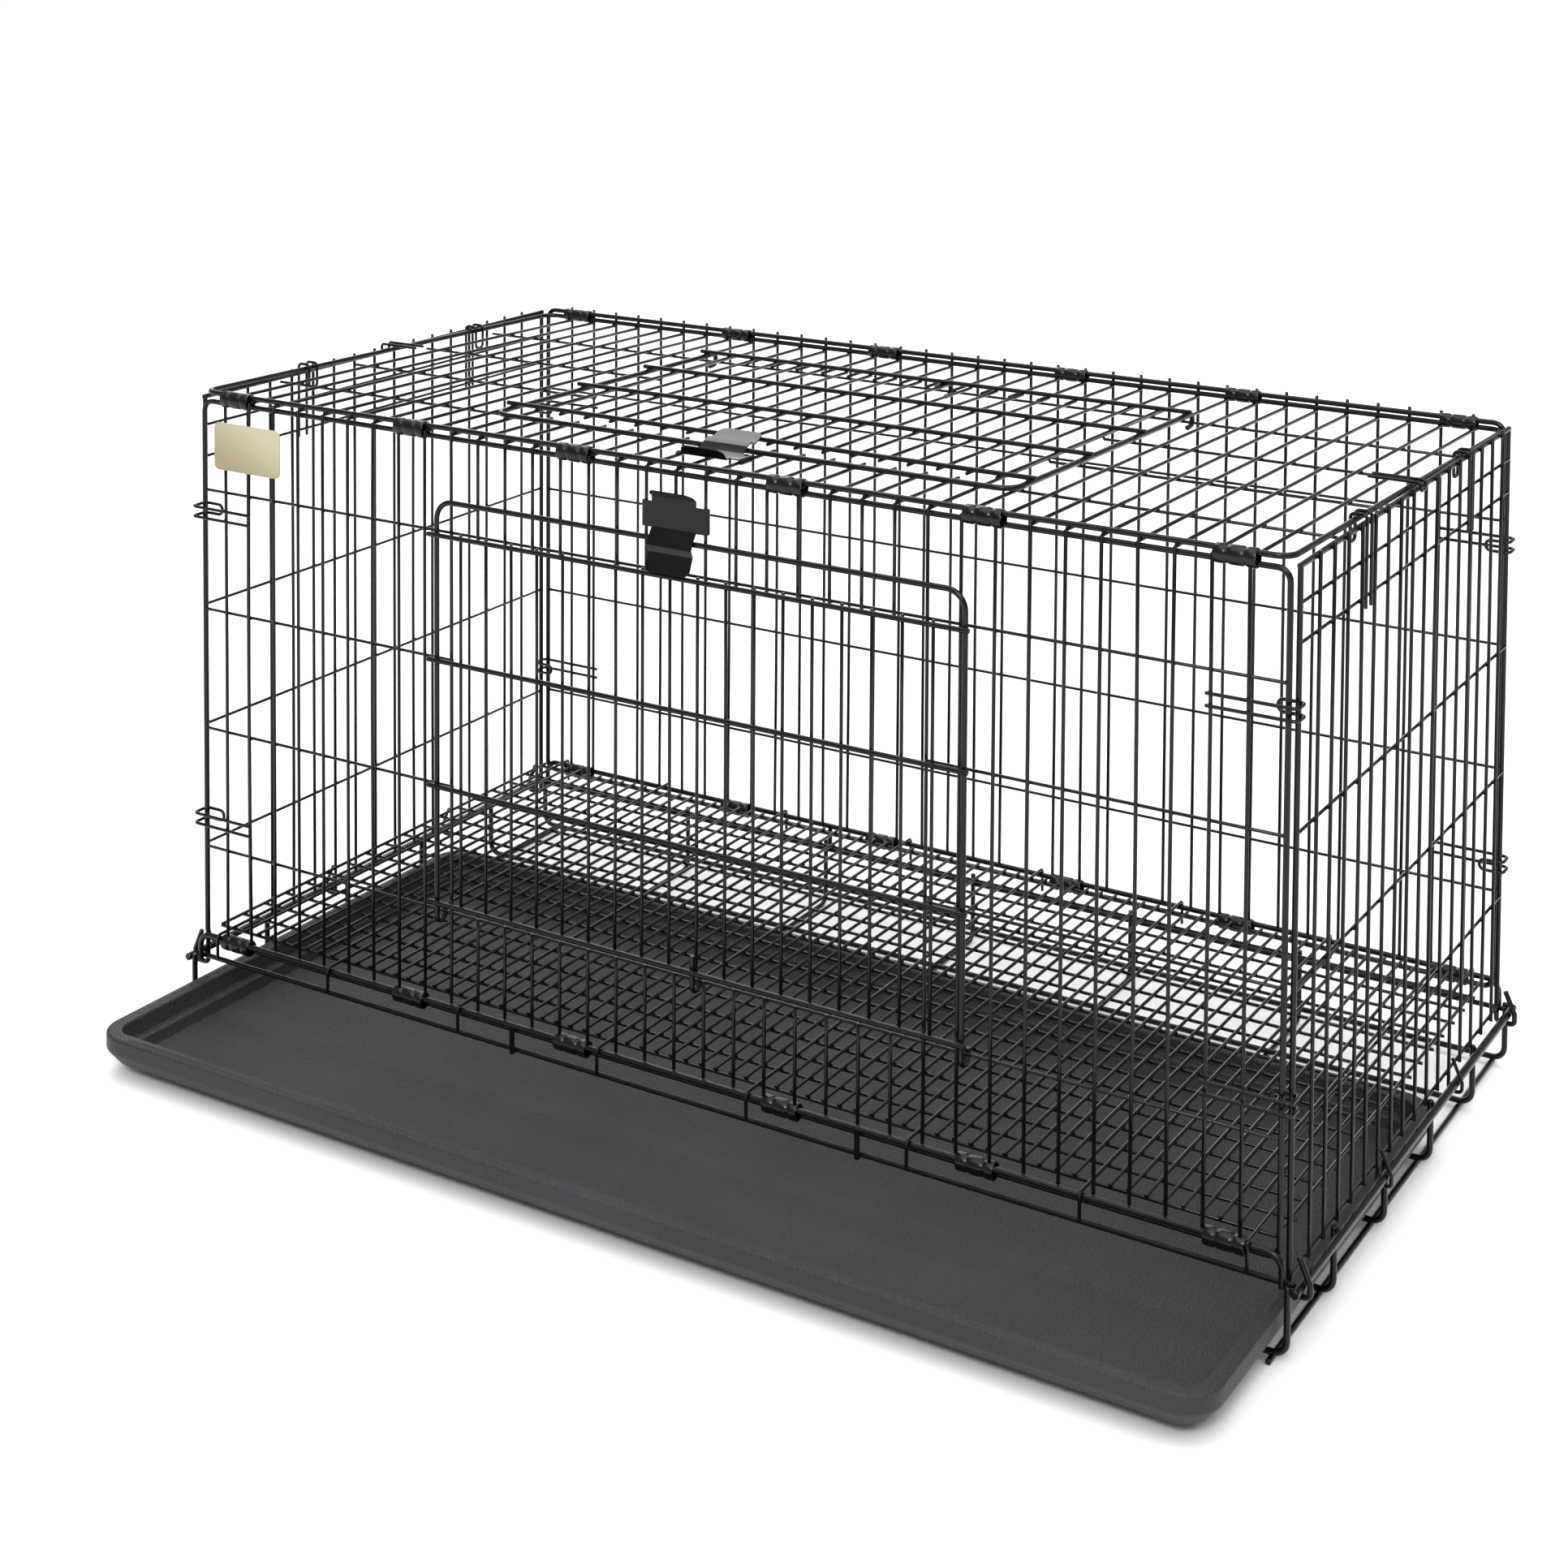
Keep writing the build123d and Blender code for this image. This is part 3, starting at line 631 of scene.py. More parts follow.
class CAGE_OT_side_panels(bpy.types.Operator):
    """Draws the front and back panels: border wires, uprights, cross wires and their welds."""

    bl_idname = "cage.side_panels"
    bl_label = "Front and back panels"

    def execute(self, context):
        self.draw_panel("front", -1, FRONT_TOP)
        self.draw_panel("back", 1, BACK_TOP)
        return {"FINISHED"}

    def draw_panel(self, place, way, top):
        """One panel, on the side that way points to along y. Only the front has a doorway."""
        sizes = bpy.context.scene.cage_wires
        y, mesh_y, cross_y = way * HALF_DEPTH, way * MESH_Y, way * CROSS_Y
        corners = [(-HALF_WIDTH, y, FRONT_BOTTOM), (HALF_WIDTH, y, FRONT_BOTTOM)]
        corners += [(HALF_WIDTH, y, top), (-HALF_WIDTH, y, top)]
        ring = bend(corners, sizes.bend_radius, close=True)
        wire_piece(f"{place}_panel_border", [tube(ring, BORDER_D, 14, close=True)])
        low, high = UPRIGHT_LOW[2], span(f"{place}_panel_uprights")[1][2]
        reach = min(HALF_WIDTH - 0.5, span(f"{place}_panel_cross_wires")[1][0])

        def upright(columns, start, end, *bowing):
            return strung(lambda z: rows(columns, mesh_y, z), start, end, MESH_D, *bowing)

        def across(levels, start, end):
            return strung(lambda x: rows(x, cross_y, levels), start, end, CROSS_D)

        if place == "front":
            uprights, cross, (x, z) = doorway_mesh(upright, across, low, high, CROSS_LEVELS, reach, 3)
        else:
            uprights = [upright(COLUMNS, low, high, sizes.wobble, 5)]
            cross = [across(CROSS_LEVELS, -reach, reach)]
            x, z = crossings(COLUMNS, CROSS_LEVELS)
        touch = way * (MESH_Y + CROSS_Y) / 2
        uprights.append(welds(rows(x, touch, z), CROSS_D / 2 * sizes.weld_size, (1.2, 0.75, 1.2)))
        edge = rows(COLUMNS, way * (HALF_DEPTH + EDGE_WELD_OUT), top)
        uprights.append(welds(edge, EDGE_WELD_RADIUS, (1.1, 0.6, 1.1)))
        wire_piece(f"{place}_panel_uprights", uprights)
        x, z = crossings([-reach, reach], CROSS_LEVELS)
        cross.append(welds(rows(x, cross_y, z), 1.5, (0.8, 0.7, 1.0)))
        wire_piece(f"{place}_panel_cross_wires", cross)


def on_lid(x, v, w):
    """Points of the top panel's own tilted plane: x across, v backward along it, w up from it."""
    x, v, w = np.broadcast_arrays(np.asarray(x, float), np.asarray(v, float), np.asarray(w, float))
    origin = np.array([0.0, 0.0, LID_MIDDLE])
    return origin + x[..., None] * [1.0, 0, 0] + v[..., None] * LID_BACKWARD + w[..., None] * LID_UP


class CAGE_OT_top_panel(bpy.types.Operator):
    """Draws the top panel with its doorway."""

    bl_idname = "cage.top_panel"
    bl_label = "Top panel"

    def execute(self, context):
        sizes = context.scene.cage_wires
        corners = on_lid([-HALF_WIDTH, HALF_WIDTH, HALF_WIDTH, -HALF_WIDTH],
                         [-LID_REACH, -LID_REACH, LID_REACH, LID_REACH], 0.0)
        ring = bend(corners, sizes.lid_bend_radius, close=True)
        wire_piece("top_panel_border", [tube(ring, BORDER_D, 14, close=True)])

        def lengthwise(columns, start, end, *bowing):
            return strung(lambda v: on_lid(columns, v, LID_MESH_W), start, end, MESH_D, *bowing)

        def across(places, start, end):
            return strung(lambda x: on_lid(x, places, LID_CROSS_W), start, end, CROSS_D)

        end = LID_REACH + OVERRUN
        mesh, cross, (x, v) = doorway_mesh(
            lengthwise, across, -end, end, LID_CROSS_AT, HALF_WIDTH - 1.0, 7
        )
        touch = (LID_MESH_W + LID_CROSS_W) / 2
        mesh.append(welds(on_lid(x, v, touch), CROSS_D / 2 * sizes.weld_size, (1.2, 1.2, 0.75)))
        x, v = crossings(COLUMNS, [-LID_REACH, LID_REACH])
        mesh.append(welds(on_lid(x, v, -EDGE_WELD_OUT), EDGE_WELD_RADIUS, (1.1, 1.1, 0.6)))
        wire_piece("top_panel_mesh_wires", mesh)
        wire_piece("top_panel_cross_wires", cross)
        return {"FINISHED"}


# A door in its own plane, from its hinge wire: along is up the door and out is away from the cage

DOOR_WIDTH = 448.0
DOOR_HEIGHT = 319.2
DOOR_OUT = 6.35
DOOR_BEND = 14.0
DOOR_GAPS = 19
DOOR_BARS = np.array([9.4, 100.0, 197.4, 293.9])
BAR_D = 3.8
COLUMN_D = 2.6
BAR_OUT = DOOR_OUT + (BORDER_D + BAR_D) / 2
COLUMN_OUT = BAR_OUT - (BAR_D + COLUMN_D) / 2 + 0.1
HOOK_BEND = 4.9
HOOK_WIDTH = 10.0
HOOK_FOOT = -7.1
HOOK_TIP = 3.0
# Where the frame wire's bent top meets its hooked sides
SIDE_MIDDLE = 160.0
MIDDLE_HOOK_TOP = 20.0


def hook_route(x, start):
    """A wire down the door that passes its hinge wire and turns back up behind it."""
    back = DOOR_OUT - HOOK_WIDTH
    return [(x, start, DOOR_OUT), (x, HOOK_FOOT, DOOR_OUT), (x, HOOK_FOOT, back), (x, HOOK_TIP, back)]


def draw_door(name, origin, across, along, outward, middle_hook):
    """One welded wire door, drawn on its hinge wire: a frame wire that ends in two hooks, a
    middle hook, four bars outside it and eighteen thin wires between the bars."""
    axes = np.array([across, along, outward], float)

    def place(x, a, out):
        return rows(x, a, out) @ axes + origin

    half = DOOR_WIDTH / 2
    left, right = (bend(hook_route(x, SIDE_MIDDLE), HOOK_BEND) for x in (-half, half))
    top = [(-half, SIDE_MIDDLE, DOOR_OUT), (-half, DOOR_HEIGHT, DOOR_OUT)]
    top += [(half, DOOR_HEIGHT, DOOR_OUT), (half, SIDE_MIDDLE, DOOR_OUT)]
    hook = bend(hook_route(middle_hook, MIDDLE_HOOK_TOP), HOOK_BEND)
    outline = np.concatenate([left[::-1], bend(top, DOOR_BEND, 9)[1:-1], right])
    parts = [tube(place(*line.T), BORDER_D, 14) for line in (outline, hook)]
    bar_ends = [place(x, DOOR_BARS, BAR_OUT) for x in (-half - 6.0, half + 5.0)]
    parts.append(wires(*bar_ends, BAR_D, 12))
    columns = -half + DOOR_WIDTH / DOOR_GAPS * np.arange(1, DOOR_GAPS)
    bow = bpy.context.scene.cage_wires.wobble
    parts.append(strung(lambda a: place(columns, a, COLUMN_OUT), DOOR_BARS[0] - 2.5, DOOR_BARS[-1] + 2.5,
                        COLUMN_D, bow, 11))
    x, a = crossings(columns, DOOR_BARS)
    parts.append(welds(place(x, a, (BAR_OUT + COLUMN_OUT) / 2), 1.7, (1.05, 1.05, 1.05)))
    x, a = crossings([-half, half], DOOR_BARS)
    parts.append(welds(place(x, a, (BAR_OUT + DOOR_OUT) / 2), 2.3, (1.0, 1.0, 1.0), 8))
    wire_piece(name, parts, name)


class CAGE_OT_doors(bpy.types.Operator):
    """Draws the front door and the top door."""

    bl_idname = "cage.doors"
    bl_label = "Doors"

    def execute(self, context):
        across, up, outward = (1, 0, 0), (0, 0, 1), (0, -1, 0)
        draw_door("front_door", FRONT_HINGE + [10.0, 0, 0], across, up, outward, 8.0)
        draw_door("top_door", TOP_HINGE + [9.0, 0, 0], (-1, 0, 0), -LID_BACKWARD, LID_UP, -9.0)
        return {"FINISHED"}


SHEET = 1.0
PLATE_HALF = 19.0
PLATE_CORNER = 6.0
EAR_LOW, EAR_HIGH = 326.7, 345.7
EAR_TURN = 110
EAR_CORNER = 1.2


def sheet_strip(path, low, high, put, corner):
    """A strip of sheet from low to high across: the path offset by half the sheet each way. Its
    four corners are quarter circles, inset = corner - sqrt(corner^2 - (corner - d)^2) at a
    distance d from the strip's end, and its edges are bevelled."""
    travel = np.concatenate([[0], np.cumsum(np.linalg.norm(np.diff(path, axis=0), axis=1))])
    near_end = corner * (1 - np.cos(np.linspace(0, math.pi / 2, 9)))
    stations = np.unique(np.round(np.concatenate([travel, near_end, travel[-1] - near_end]), 3))
    path = np.stack([np.interp(stations, travel, path[:, k]) for k in (0, 1)], 1)
    way = np.gradient(path, stations, axis=0)
    way /= np.linalg.norm(way, axis=1)[:, None]
    normal = np.stack([-way[:, 1], way[:, 0]], 1) * SHEET / 2
    short = np.clip(corner - np.minimum(stations, travel[-1] - stations), 0, corner)
    inset = corner - np.sqrt(np.maximum(corner**2 - short**2, 0))
    sections = []
    for side, edge, share in ((1, low, 0), (1, low, 1), (1, high, 1), (1, high, 0), (-1, high, 0),
                              (-1, high, 1), (-1, low, 1), (-1, low, 0)):
        sign = 1 if edge == low else -1
        across_at = edge + sign * (inset + 0.25 * share)
        thick = normal * side * (0.6 + 0.4 * share)
        sections.append(put(path + thick, across_at))
    return closed_sheet(np.stack(sections, 1))


def draw_latch(name, origin, across, along, outward):
    """A springy sheet latch.

    The plate is its side line carried across x, thickened by half the sheet along the line's
    normal each way, and each ear is an arc round its mesh wire thickened in the same way.
    """
    axes = np.array([across, along, outward], float)
    wire_out = MESH_Y - CROSS_Y
    plate_out = wire_out + MESH_D / 2 + 0.8 + SHEET / 2
    corners = [(0, 296.7, 15.2), (0, 310.5, 9.6), (0, 315.3, 12.0), (0, 320.8, 9.6)]
    corners += [(0, 327.2, plate_out), (0, 350.0, plate_out), (0, 355.2, 12.6)]
    line = bend(corners, 1.3, 5)[:, 1:]

    def plate_point(path, x):
        return rows(x, path[:, 0], path[:, 1]) @ axes + origin

    def ear_point(path, a):
        return rows(path[:, 0], a, path[:, 1]) @ axes + origin

    parts = [sheet_strip(line, -PLATE_HALF, PLATE_HALF, plate_point, PLATE_CORNER)]
    curl = plate_out - wire_out
    turn = np.linspace(0, math.radians(EAR_TURN), 10)
    for way in (-1, 1):
        arc = rows(way * (PITCH + curl * np.sin(turn)), wire_out + curl * np.cos(turn))
        flat = rows(way * np.linspace(PLATE_HALF - 1, PITCH - 0.6, 4), plate_out)
        parts.append(sheet_strip(np.concatenate([flat, arc]), EAR_LOW, EAR_HIGH, ear_point, EAR_CORNER))
    turned_piece(f"{name}_sheet", parts, "sheet", name, name, "black_sheet", 35.0)


class CAGE_OT_latches(bpy.types.Operator):
    """Draws the two door latches."""

    bl_idname = "cage.latches"
    bl_label = "Latches"

    def execute(self, context):
        draw_latch("front_latch", FRONT_HINGE, (1, 0, 0), (0, 0, 1), (0, -1, 0))
        draw_latch("top_latch", TOP_HINGE, (-1, 0, 0), -LID_BACKWARD, LID_UP)
        return {"FINISHED"}


END_HALF = 232.0
END_BAYS = 17
END_PITCH = 2 * END_HALF / END_BAYS
END_LEVELS = np.array([53.5, 141.0, 240.0, 339.0, 460.8, 486.5])
HOOK_BAYS = [0, 6, 12, 17]
END_X = 461.7
END_D = 4.0
END_TOP = 510.0
END_UPRIGHT_TOP = END_TOP + 4.0
ROD_GAP = 0.35
HAIRPIN_D = 2.5
HAIRPIN_HALF = 5.0
HAIRPIN_Y = (-109.0, 123.0)
HAIRPIN_FOOT = 454.0
HAIRPIN_BEND = 3.4
HAIRPIN_RETURN = 20.0
KEEPER_Y = 3.0
KEEPER_LEVEL = 516.0


def hairpin(leg, apart, radius):
    """A wire bent back on itself: out along a leg moved back by apart, and home moved on by it."""
    leg = np.array(leg, float)
    return bent_wire(np.concatenate([leg - apart, (leg + apart)[::-1]]), radius, HAIRPIN_D, 12)


def rod_hook(sign, x, y, diameter, top):
    """An upright whose foot passes down inside the base rod, turns out under it and comes up
    outside it, with a cut tail that leans back in above the rod."""
    around = (ROD_D + diameter) / 2 + ROD_GAP
    out = ROD_X + around
    foot = ROD_Z - around - 2.0
    route = [(x, top), (x, foot), (out, foot), (out, ROD_Z + 1.0), (out - 7.5, ROD_Z + 18.0)]
    return bent_wire([(sign * a, y, b) for a, b in route], 3.4, diameter, 12)


class CAGE_OT_end_panels(bpy.types.Operator):
    """Draws the end panels, their hooks on the base rods and the hairpins over their tops."""

    bl_idname = "cage.end_panels"
    bl_label = "End panels"

    def execute(self, context):
        sizes = context.scene.cage_wires
        mesh_out = END_X + (END_D + MESH_D) / 2
        cross_out = mesh_out - (MESH_D + CROSS_D) / 2
        reach = END_HALF - 1.0
        plain = -END_HALF + END_PITCH * np.array([i for i in range(1, END_BAYS) if i not in HOOK_BAYS])
        inner = -END_HALF + np.arange(1, END_BAYS) * END_PITCH
        for side, sign in (("left", -1), ("right", 1)):
            parts = [rod_hook(sign, END_X, y, END_D, END_TOP - 1.0) for y in (-END_HALF, END_HALF)]
            line = rows(sign * END_X, np.linspace(-END_HALF - 2, END_HALF + 2, 5), END_TOP)
            parts.append(tube(line, END_D, 14))
            for i in HOOK_BAYS[1:-1]:
                parts.append(rod_hook(sign, mesh_out, -END_HALF + i * END_PITCH, MESH_D, END_UPRIGHT_TOP))
            parts.append(strung(lambda z: rows(sign * mesh_out, plain, z), END_LEVELS[0] - 1.5,
                                END_UPRIGHT_TOP, MESH_D, sizes.wobble, 13))
            parts.append(strung(lambda y: rows(sign * cross_out, y, END_LEVELS), -reach, reach, CROSS_D))
            y, z = crossings(inner, END_LEVELS)
            touch = sign * (mesh_out + cross_out) / 2
            parts.append(welds(rows(touch, y, z), CROSS_D / 2 * sizes.weld_size, (0.75, 1.2, 1.2)))
            edge = rows(sign * (END_X + 1.9), inner, END_TOP)
            parts.append(welds(edge, EDGE_WELD_RADIUS, (0.6, 1.1, 1.1)))
            wire_piece(f"{side}_end_panel", parts, f"{side}_end")
            self.hairpins(side, sign)
        return {"FINISHED"}

    def hairpins(self, side, sign):
        """Two bent wires over the top of one end panel, and the keeper on the top panel."""
        apart = (0, HAIRPIN_HALF, 0)
        out = END_X + (END_D + HAIRPIN_D) / 2 + 0.05
        inner = HALF_WIDTH - (BORDER_D + HAIRPIN_D) / 2 - 0.5
        parts = []
        for y in HAIRPIN_Y:
            over = max(LID_MIDDLE - LID_FALL * y + BORDER_D / 2, END_TOP + END_D / 2)
            arch = over + 0.5 + HAIRPIN_D / 2
            leg = [(out, HAIRPIN_FOOT), (out, arch), (inner, arch), (inner, arch - HAIRPIN_RETURN)]
            parts.append(hairpin([(sign * a, y, b) for a, b in leg], apart, HAIRPIN_BEND))
        wire_piece(f"{side}_end_hairpins", parts, f"{side}_end")
        out = END_X + 4.5
        leg = [(HALF_WIDTH - PITCH - 4.0, KEEPER_LEVEL), (out, KEEPER_LEVEL), (out, KEEPER_LEVEL - 6.0)]
        wire_piece(f"{side}_top_keeper", [hairpin([(sign * a, KEEPER_Y, b) for a, b in leg], apart, 2.6)])


CORNER_LEVELS = (164.8, 417.8)
CORNER_HALF = 4.07
CORNER_BEND = 3.9
CORNER_WELD_X = [406.4, 431.8]


class CAGE_OT_corner_hairpins(bpy.types.Operator):
    """Draws the bent wires that tie the front and back panels to the ends round each corner."""

    bl_idname = "cage.corner_hairpins"
    bl_label = "Corner hairpins"

    def execute(self, context):
        out = MESH_Y + (MESH_D + HAIRPIN_D) / 2
        corner = END_X + (END_D + HAIRPIN_D) / 2 + 0.35
        inner = END_HALF - (END_D + HAIRPIN_D) / 2 - 0.35
        leg = [(404.0, out), (corner, out), (corner, inner), (447.0, inner)]
        for place, way in (("front", -1), ("back", 1)):
            parts = []
            for sign in (-1, 1):
                for level in CORNER_LEVELS:
                    line = [(sign * x, way * y, level) for x, y in leg]
                    parts.append(hairpin(line, (0, 0, CORNER_HALF), CORNER_BEND))
                    x, z = crossings(CORNER_WELD_X, [level - CORNER_HALF, level + CORNER_HALF])
                    parts.append(welds(rows(sign * x, way * (out - 1.3), z), 1.5, (1.1, 0.7, 1.1)))
            wire_piece(f"{place}_corner_hairpins", parts)
        return {"FINISHED"}


CLIP_X = (-421.8, -244.0, -90.5, 90.5, 244.0, 421.8)
CLIP_WALL = 0.9


def ring_clip(x, y, z, radius):
    """One crimped ring: a tube of oval section whose radius dips in two grooves along its length.

    At angle t and distance s along it the surface stands radius * (1 - dip(s)) from the middle,
    with dip(s) two narrow bells at s = -6 and 6 mm.
    """
    s = np.array([0, 2, 4.4, 5.2, 6, 6.8, 7.6, 9, 13.6, 14])
    s = np.concatenate([-s[:0:-1], s])
    dip = 0.13 * (np.exp(-(((s + 6) / 1.1) ** 2)) + np.exp(-(((s - 6) / 1.1) ** 2)))
    t = np.arange(20) * 2 * math.pi / 20
    outer = radius * (1 - dip) - np.where(np.abs(s) > 13.8, 0.25, 0)
    inner = outer - CLIP_WALL
    profile_s = np.concatenate([s, s[::-1]])
    profile_r = np.concatenate([outer, np.maximum(inner[::-1], 1.0)])
    grid_y = profile_r[None] * np.cos(t)[:, None] * 0.94
    grid_z = profile_r[None] * np.sin(t)[:, None]
    points = rows(x + profile_s[None], y + grid_y, z + grid_z)
    n, m = points.shape[:2]
    i = np.arange(n)[:, None]
    j = np.arange(m)[None, :]
    a, b = (i + 1) % n, (j + 1) % m
    faces = np.stack([i * m + j, a * m + j, a * m + b, i * m + b], -1).reshape(-1, 4)
    return points.reshape(-1, 3), faces.tolist()


class CAGE_OT_clips(bpy.types.Operator):
    """Draws the four rows of crimped ring clips."""

    bl_idname = "cage.clips"
    bl_label = "Ring clips"

    def execute(self, context):
        for node in ("top_front_clips", "top_back_clips", "bottom_front_clips", "bottom_back_clips"):
            low, high = span(node)
            _, y, z = (low + high) / 2
            parts = [ring_clip(x, y, z, (high[2] - low[2]) / 2) for x in CLIP_X]
            turned_piece(f"{node}_rings", parts, "clip", "cage", node, "black_clip", 35.0)
        return {"FINISHED"}


FLOOR_ROWS = 18
FLOOR_STEP = 12.9
FLOOR_COUNTS = np.arange(-35, 36)
FLOOR_HOOKS = (5, 15, 25, 34)
FLOOR_BEND = 3.0


class CAGE_OT_floor(bpy.types.Operator):
    """Draws the loose wire floor."""

    bl_idname = "cage.floor"
    bl_label = "Wire floor"

    def execute(self, context):
        d = GRID_HIGH[2] - GRID_LOW[2]
        level = (GRID_HIGH[2] + GRID_LOW[2]) / 2
        low, high = span("floor_long_wires")
        long_level = (low[2] + high[2]) / 2
        y = np.linspace(low[1] + d / 2, high[1] - d / 2, FLOOR_ROWS)
        parts = [wires(rows(low[0], y, long_level), rows(high[0], y, long_level), d, 8, 0.5, 17)]
        wire_piece("floor_long_wires", parts, "floor")
        plain = FLOOR_COUNTS[~np.isin(np.abs(FLOOR_COUNTS), FLOOR_HOOKS)] * FLOOR_STEP
        parts = [wires(rows(plain, GRID_LOW[1], level), rows(plain, GRID_HIGH[1], level), d, 8, 0.25, 19)]
        x, weld_y = crossings(FLOOR_COUNTS * FLOOR_STEP, y)
        parts.append(welds(rows(x, weld_y, (level + long_level) / 2), d / 2 * 1.05, (1.15, 1.15, 0.6)))
        wire_piece("floor_short_wires", parts, "floor")
        low, high = span("floor_hook_wires")
        reach = high[1] - d / 2
        parts = []
        for x in [sign * k * FLOOR_STEP for k in FLOOR_HOOKS for sign in (-1, 1)]:
            route = [(x, -reach, low[2]), (x, -reach, level), (x, reach, level), (x, reach, low[2])]
            parts.append(bent_wire(route, FLOOR_BEND, d, 10))
        wire_piece("floor_hook_wires", parts, "floor")
        return {"FINISHED"}


TRAY_CORNER = 27.0
TRAY_LEAST_CORNER = 8.0
TRAY_FLOOR = 2.5
# How far in from the edge the section goes before the flat middle takes over
TRAY_MIDDLE = 60.0
BEAD_AT = 6.2
BEAD_WIDTH = 2.0
BEAD_HEIGHT = 1.1
BEAD_START = 10.0
BEAD_FADE = 12.0


class CAGE_OT_tray(bpy.types.Operator):
    """Draws the moulded tray."""

    bl_idname = "cage.tray"
    bl_label = "Tray"

    def execute(self, context):
        """The tray's section, from the middle of its underside over the rim to the middle of its
        floor, carried round a rounded rectangle. A rim bead rises on the straight stretches: its
        height is 1.1 mm * bell(distance from the band's middle) * fade(distance from a corner)."""
        half = (TRAY_HIGH - TRAY_LOW) / 2
        middle = (TRAY_LOW + TRAY_HIGH) / 2
        low, high = TRAY_LOW[2], TRAY_HIGH[2]
        floor = low + TRAY_FLOOR
        corners = [(TRAY_MIDDLE, 0, low), (13.0, 0, low), (10.2, 0, low + 0.8), (0.9, 0, high - 13.6)]
        corners += [(0.0, 0, high - 11.6), (0.0, 0, high - 1.8), (0.6, 0, high - 0.6), (2.0, 0, high)]
        corners += [(11.2, 0, high), (12.4, 0, high - 1.2), (14.7, 0, high - 12.9), (20.0, 0, high - 13.1)]
        corners += [(21.2, 0, high - 14.0), (23.6, 0, low + 2.9), (26.0, 0, floor), (TRAY_MIDDLE, 0, floor)]
        section = bend(corners, 1.2, 4)
        section = np.concatenate([section, rows(np.linspace(2.6, 10.4, 13), 0, high)])
        lip = np.abs(section[:, 2] - high) < 1e-6
        order = self.along_section(section, lip)
        section, lip = section[order], lip[order]
        inset, level = section[:, 0], section[:, 2]
        ring, share = self.outline(half[0], half[1], inset)
        bead = np.exp(-(((inset - BEAD_AT) / BEAD_WIDTH) ** 2)) * BEAD_HEIGHT * lip
        z = level[None] + bead[None] * share[:, None]
        points = np.concatenate([ring + middle[:2], z[..., None]], -1)
        n, m = points.shape[:2]
        i = np.arange(n)[:, None]
        j = np.arange(m - 1)[None, :]
        a = (i + 1) % n
        faces = np.stack([i * m + j, i * m + j + 1, a * m + j + 1, a * m + j], -1).reshape(-1, 4).tolist()
        faces.append([k * m for k in range(n)])
        faces.append([k * m + m - 1 for k in range(n)][::-1])
        turned_piece("slide_out_tray_shell", [(points.reshape(-1, 3), faces)], "tray", "tray",
                     "slide_out_tray", "charcoal_plastic", 50.0)
        return {"FINISHED"}

    @staticmethod
    def along_section(section, lip):
        """The order that puts the extra points of the rim's top between its ends."""
        rim = np.flatnonzero(lip)
        first = rim[0]
        rim = rim[np.argsort(section[rim, 0], kind="stable")]
        rest = np.flatnonzero(~lip)
        return np.concatenate([rest[rest < first], rim, rest[rest > first]])

    @staticmethod
    def outline(half_x, half_y, inset):
        """Rounded rectangles inside the tray's edge, one for each inset: straight stretches and
        quarter circles whose radius shrinks with the inset but stays above the least one. The
        second value is 1 on the straight stretches and fades to 0 before the corners."""
        radius = np.maximum(TRAY_CORNER - inset, TRAY_LEAST_CORNER)
        x, y = half_x - inset - radius, half_y - inset - radius
        centres = [np.stack([sx * x, sy * y], -1) for sx, sy in ((1, 1), (-1, 1), (-1, -1), (1, -1))]
        turn = np.linspace(0, math.pi / 2, 12)[1:-1]
        # Shares of a straight stretch, closer together near its ends
        along = (1 - np.cos(np.linspace(0, math.pi, 20))) / 2
        rings = []
        shares = []
        for q, centre in enumerate(centres):
            t = turn + q * math.pi / 2
            arc = np.stack([np.cos(t), np.sin(t)], -1)
            rings.append(centre[None] + radius[None, :, None] * arc[:, None])
            shares.append(np.zeros(len(t)))
            end = (q + 1) * math.pi / 2
            out = radius[:, None] * np.array([math.cos(end), math.sin(end)])
            start, finish = centre + out, centres[(q + 1) % 4] + out
            rings.append(start[None] + along[:, None, None] * (finish - start)[None])
            near = np.minimum(along, 1 - along) * np.linalg.norm((finish - start)[0])
            shares.append(np.clip((near - BEAD_START) / BEAD_FADE, 0, 1))
        return np.concatenate(rings), np.concatenate(shares)


LABEL_CORNER = 5.0


class CAGE_OT_label(bpy.types.Operator):
    """Draws the plain label card."""

    bl_idname = "cage.label"
    bl_label = "Label card"

    def execute(self, context):
        """A rounded rectangle carried through the card's thickness with a small bevel; its corner
        points are corner centre + radius * (cos t, sin t)."""
        low, high = span("label_plate")
        middle = (low + high) / 2
        half = (high - low) / 2
        outlines = []
        for depth, inset in ((1.0, 0.3), (0.7, 0.0), (-0.7, 0.0), (-1.0, 0.3), (-1.0, 1.5), (-0.8, 2.0)):
            ring = []
            for q, (sx, sz) in enumerate(((1, 1), (-1, 1), (-1, -1), (1, -1))):
                centre = np.array([sx * (half[0] - LABEL_CORNER), sz * (half[2] - LABEL_CORNER)])
                turn = np.linspace(0, math.pi / 2, 7) + q * math.pi / 2
                ring.append(centre + (LABEL_CORNER - inset) * np.stack([np.cos(turn), np.sin(turn)], -1))
            ring = np.concatenate(ring)
            outlines.append(rows(middle[0] + ring[:, 0], middle[1] + depth * half[1], middle[2] + ring[:, 1]))
        part = closed_sheet(np.stack(outlines))
        turned_piece("label_plate_card", [part], "label", "cage", "label_plate", "cream_label", 30.0)
        return {"FINISHED"}


FLOOR_REACH = 80.0
BACKDROP_STRENGTH = 1.05


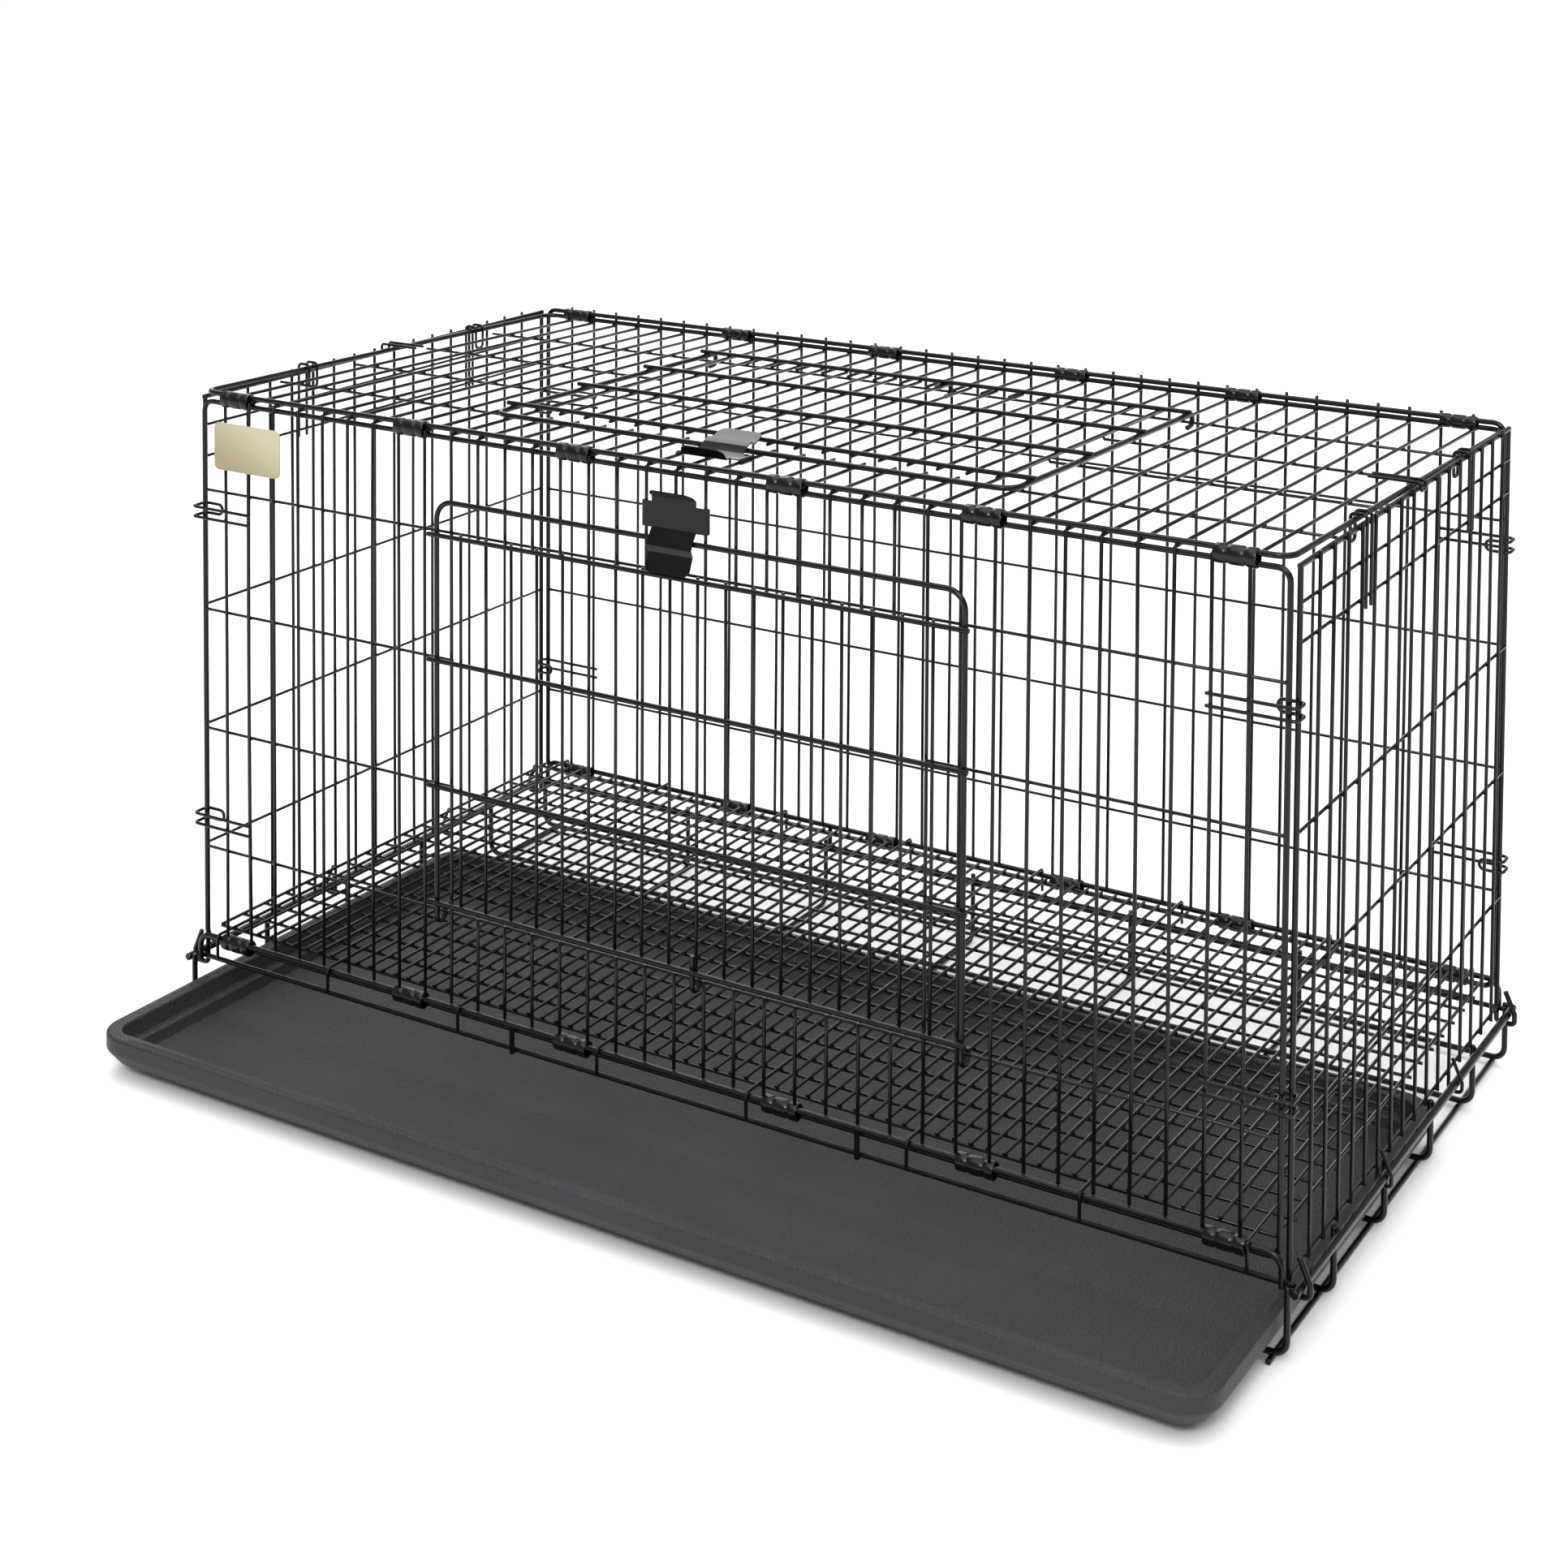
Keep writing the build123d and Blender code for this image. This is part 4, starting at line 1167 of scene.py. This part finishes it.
class CAGE_OT_stage(bpy.types.Operator):
    """Sets the pale floor, the lights, the white surroundings and the camera."""

    bl_idname = "cage.stage"
    bl_label = "Stage"

    def execute(self, context):
        settings = context.scene.cage_stage
        mesh = bpy.data.meshes.new("floor_sheet")
        corners = [(-1, -1, 0), (1, -1, 0), (1, 1, 0), (-1, 1, 0)]
        mesh.from_pydata([[FLOOR_REACH * v for v in corner] for corner in corners], [], [(0, 1, 2, 3)])
        paper, tree, output, _ = new_material("white paper sweep")
        # Matte white paper: it only shows the soft contact shadow.
        surface(tree, output, {"Base Color": linear("#F7F7F7"), "Roughness": 0.9, "Specular IOR Level": 0.2})
        mesh.materials.append(paper)
        floor = add_object("floor_sheet", mesh)
        world = bpy.data.worlds.new("white studio")
        world.use_nodes = True
        tree = world.node_tree
        tree.nodes.clear()
        path = add_node(tree, "ShaderNodeLightPath")
        strength = between(tree, path.outputs["Is Camera Ray"], settings.sky, BACKDROP_STRENGTH)
        white = add_node(tree, "ShaderNodeBackground", links={"Strength": strength})
        add_node(tree, "ShaderNodeOutputWorld", links={"Surface": white.outputs["Background"]})
        context.scene.world = world
        overhead = bpy.data.lights.new("overhead", "SUN")
        overhead.angle = math.radians(80)
        overhead.energy = settings.overhead
        lamp = add_object("overhead", overhead)
        lamp.rotation_euler = (math.radians(10), math.radians(10), 0)
        self.light("key", (1.3, -3.0, 2.6), 0.9, settings.key_power)
        self.light("strip", (-1.4, 0.95, 2.45), 1.0, settings.strip_power)
        self.light("backdrop", (-2.0, 3.1, 1.5), 2.6, settings.back_power)
        camera = bpy.data.cameras.new("camera")
        camera.lens = 61.0
        camera.sensor_width = 36.0
        camera.shift_x = 0.0419
        camera.shift_y = -0.5103
        stand = add_object("camera", camera)
        stand.location = (1.0254, -1.8195, 0.9618)
        stand.rotation_euler = [math.radians(v) for v in (86.927, -0.267, 32.147)]
        context.scene.camera = stand
        context.scene.view_settings.view_transform = "Standard"
        return {"FINISHED"}

    def light(self, name, place, size, power):
        """A square area light aimed at the cage's middle."""
        data = bpy.data.lights.new(name, "AREA")
        data.size = size
        data.energy = power
        lamp = add_object(name, data)
        lamp.location = place
        lamp.visible_camera = False
        aim = Vector((0, 0, 0.25)) - Vector(place)
        lamp.rotation_euler = aim.to_track_quat("-Z", "Y").to_euler()


PIECE_OPERATORS = [
    CAGE_OT_base,
    CAGE_OT_side_panels,
    CAGE_OT_top_panel,
    CAGE_OT_doors,
    CAGE_OT_latches,
    CAGE_OT_end_panels,
    CAGE_OT_corner_hairpins,
    CAGE_OT_clips,
    CAGE_OT_floor,
    CAGE_OT_tray,
    CAGE_OT_label,
    CAGE_OT_stage,
]


class CAGE_PT_panel(bpy.types.Panel):
    """Lists the cage's pieces and settings."""

    bl_idname = "CAGE_PT_panel"
    bl_label = "Wire cage"
    bl_space_type = "VIEW_3D"
    bl_region_type = "UI"
    bl_category = "Cage"

    def draw(self, context):
        layout = self.layout
        for settings in (context.scene.cage_wires, context.scene.cage_finish, context.scene.cage_stage):
            box = layout.box()
            for name in settings.bl_rna.properties.keys():
                if name not in ("rna_type", "name"):
                    box.prop(settings, name)
        for operator in PIECE_OPERATORS:
            layout.operator(operator.bl_idname)


CLASSES = [CageWireSettings, CageFinishSettings, CageStageSettings, *PIECE_OPERATORS, CAGE_PT_panel]


def register():
    """Registers the classes and hangs the settings on the scene."""
    for cls in CLASSES:
        bpy.utils.register_class(cls)
    bpy.types.Scene.cage_wires = PointerProperty(type=CageWireSettings)
    bpy.types.Scene.cage_finish = PointerProperty(type=CageFinishSettings)
    bpy.types.Scene.cage_stage = PointerProperty(type=CageStageSettings)


def unregister():
    """Takes the settings and the classes away again."""
    del bpy.types.Scene.cage_wires
    del bpy.types.Scene.cage_finish
    del bpy.types.Scene.cage_stage
    for cls in reversed(CLASSES):
        bpy.utils.unregister_class(cls)


def main():
    """Draws every piece and the stage."""
    register()
    for operator in PIECE_OPERATORS:
        group, name = operator.bl_idname.split(".")
        getattr(getattr(bpy.ops, group), name)()


if __name__ == "__main__":
    main()
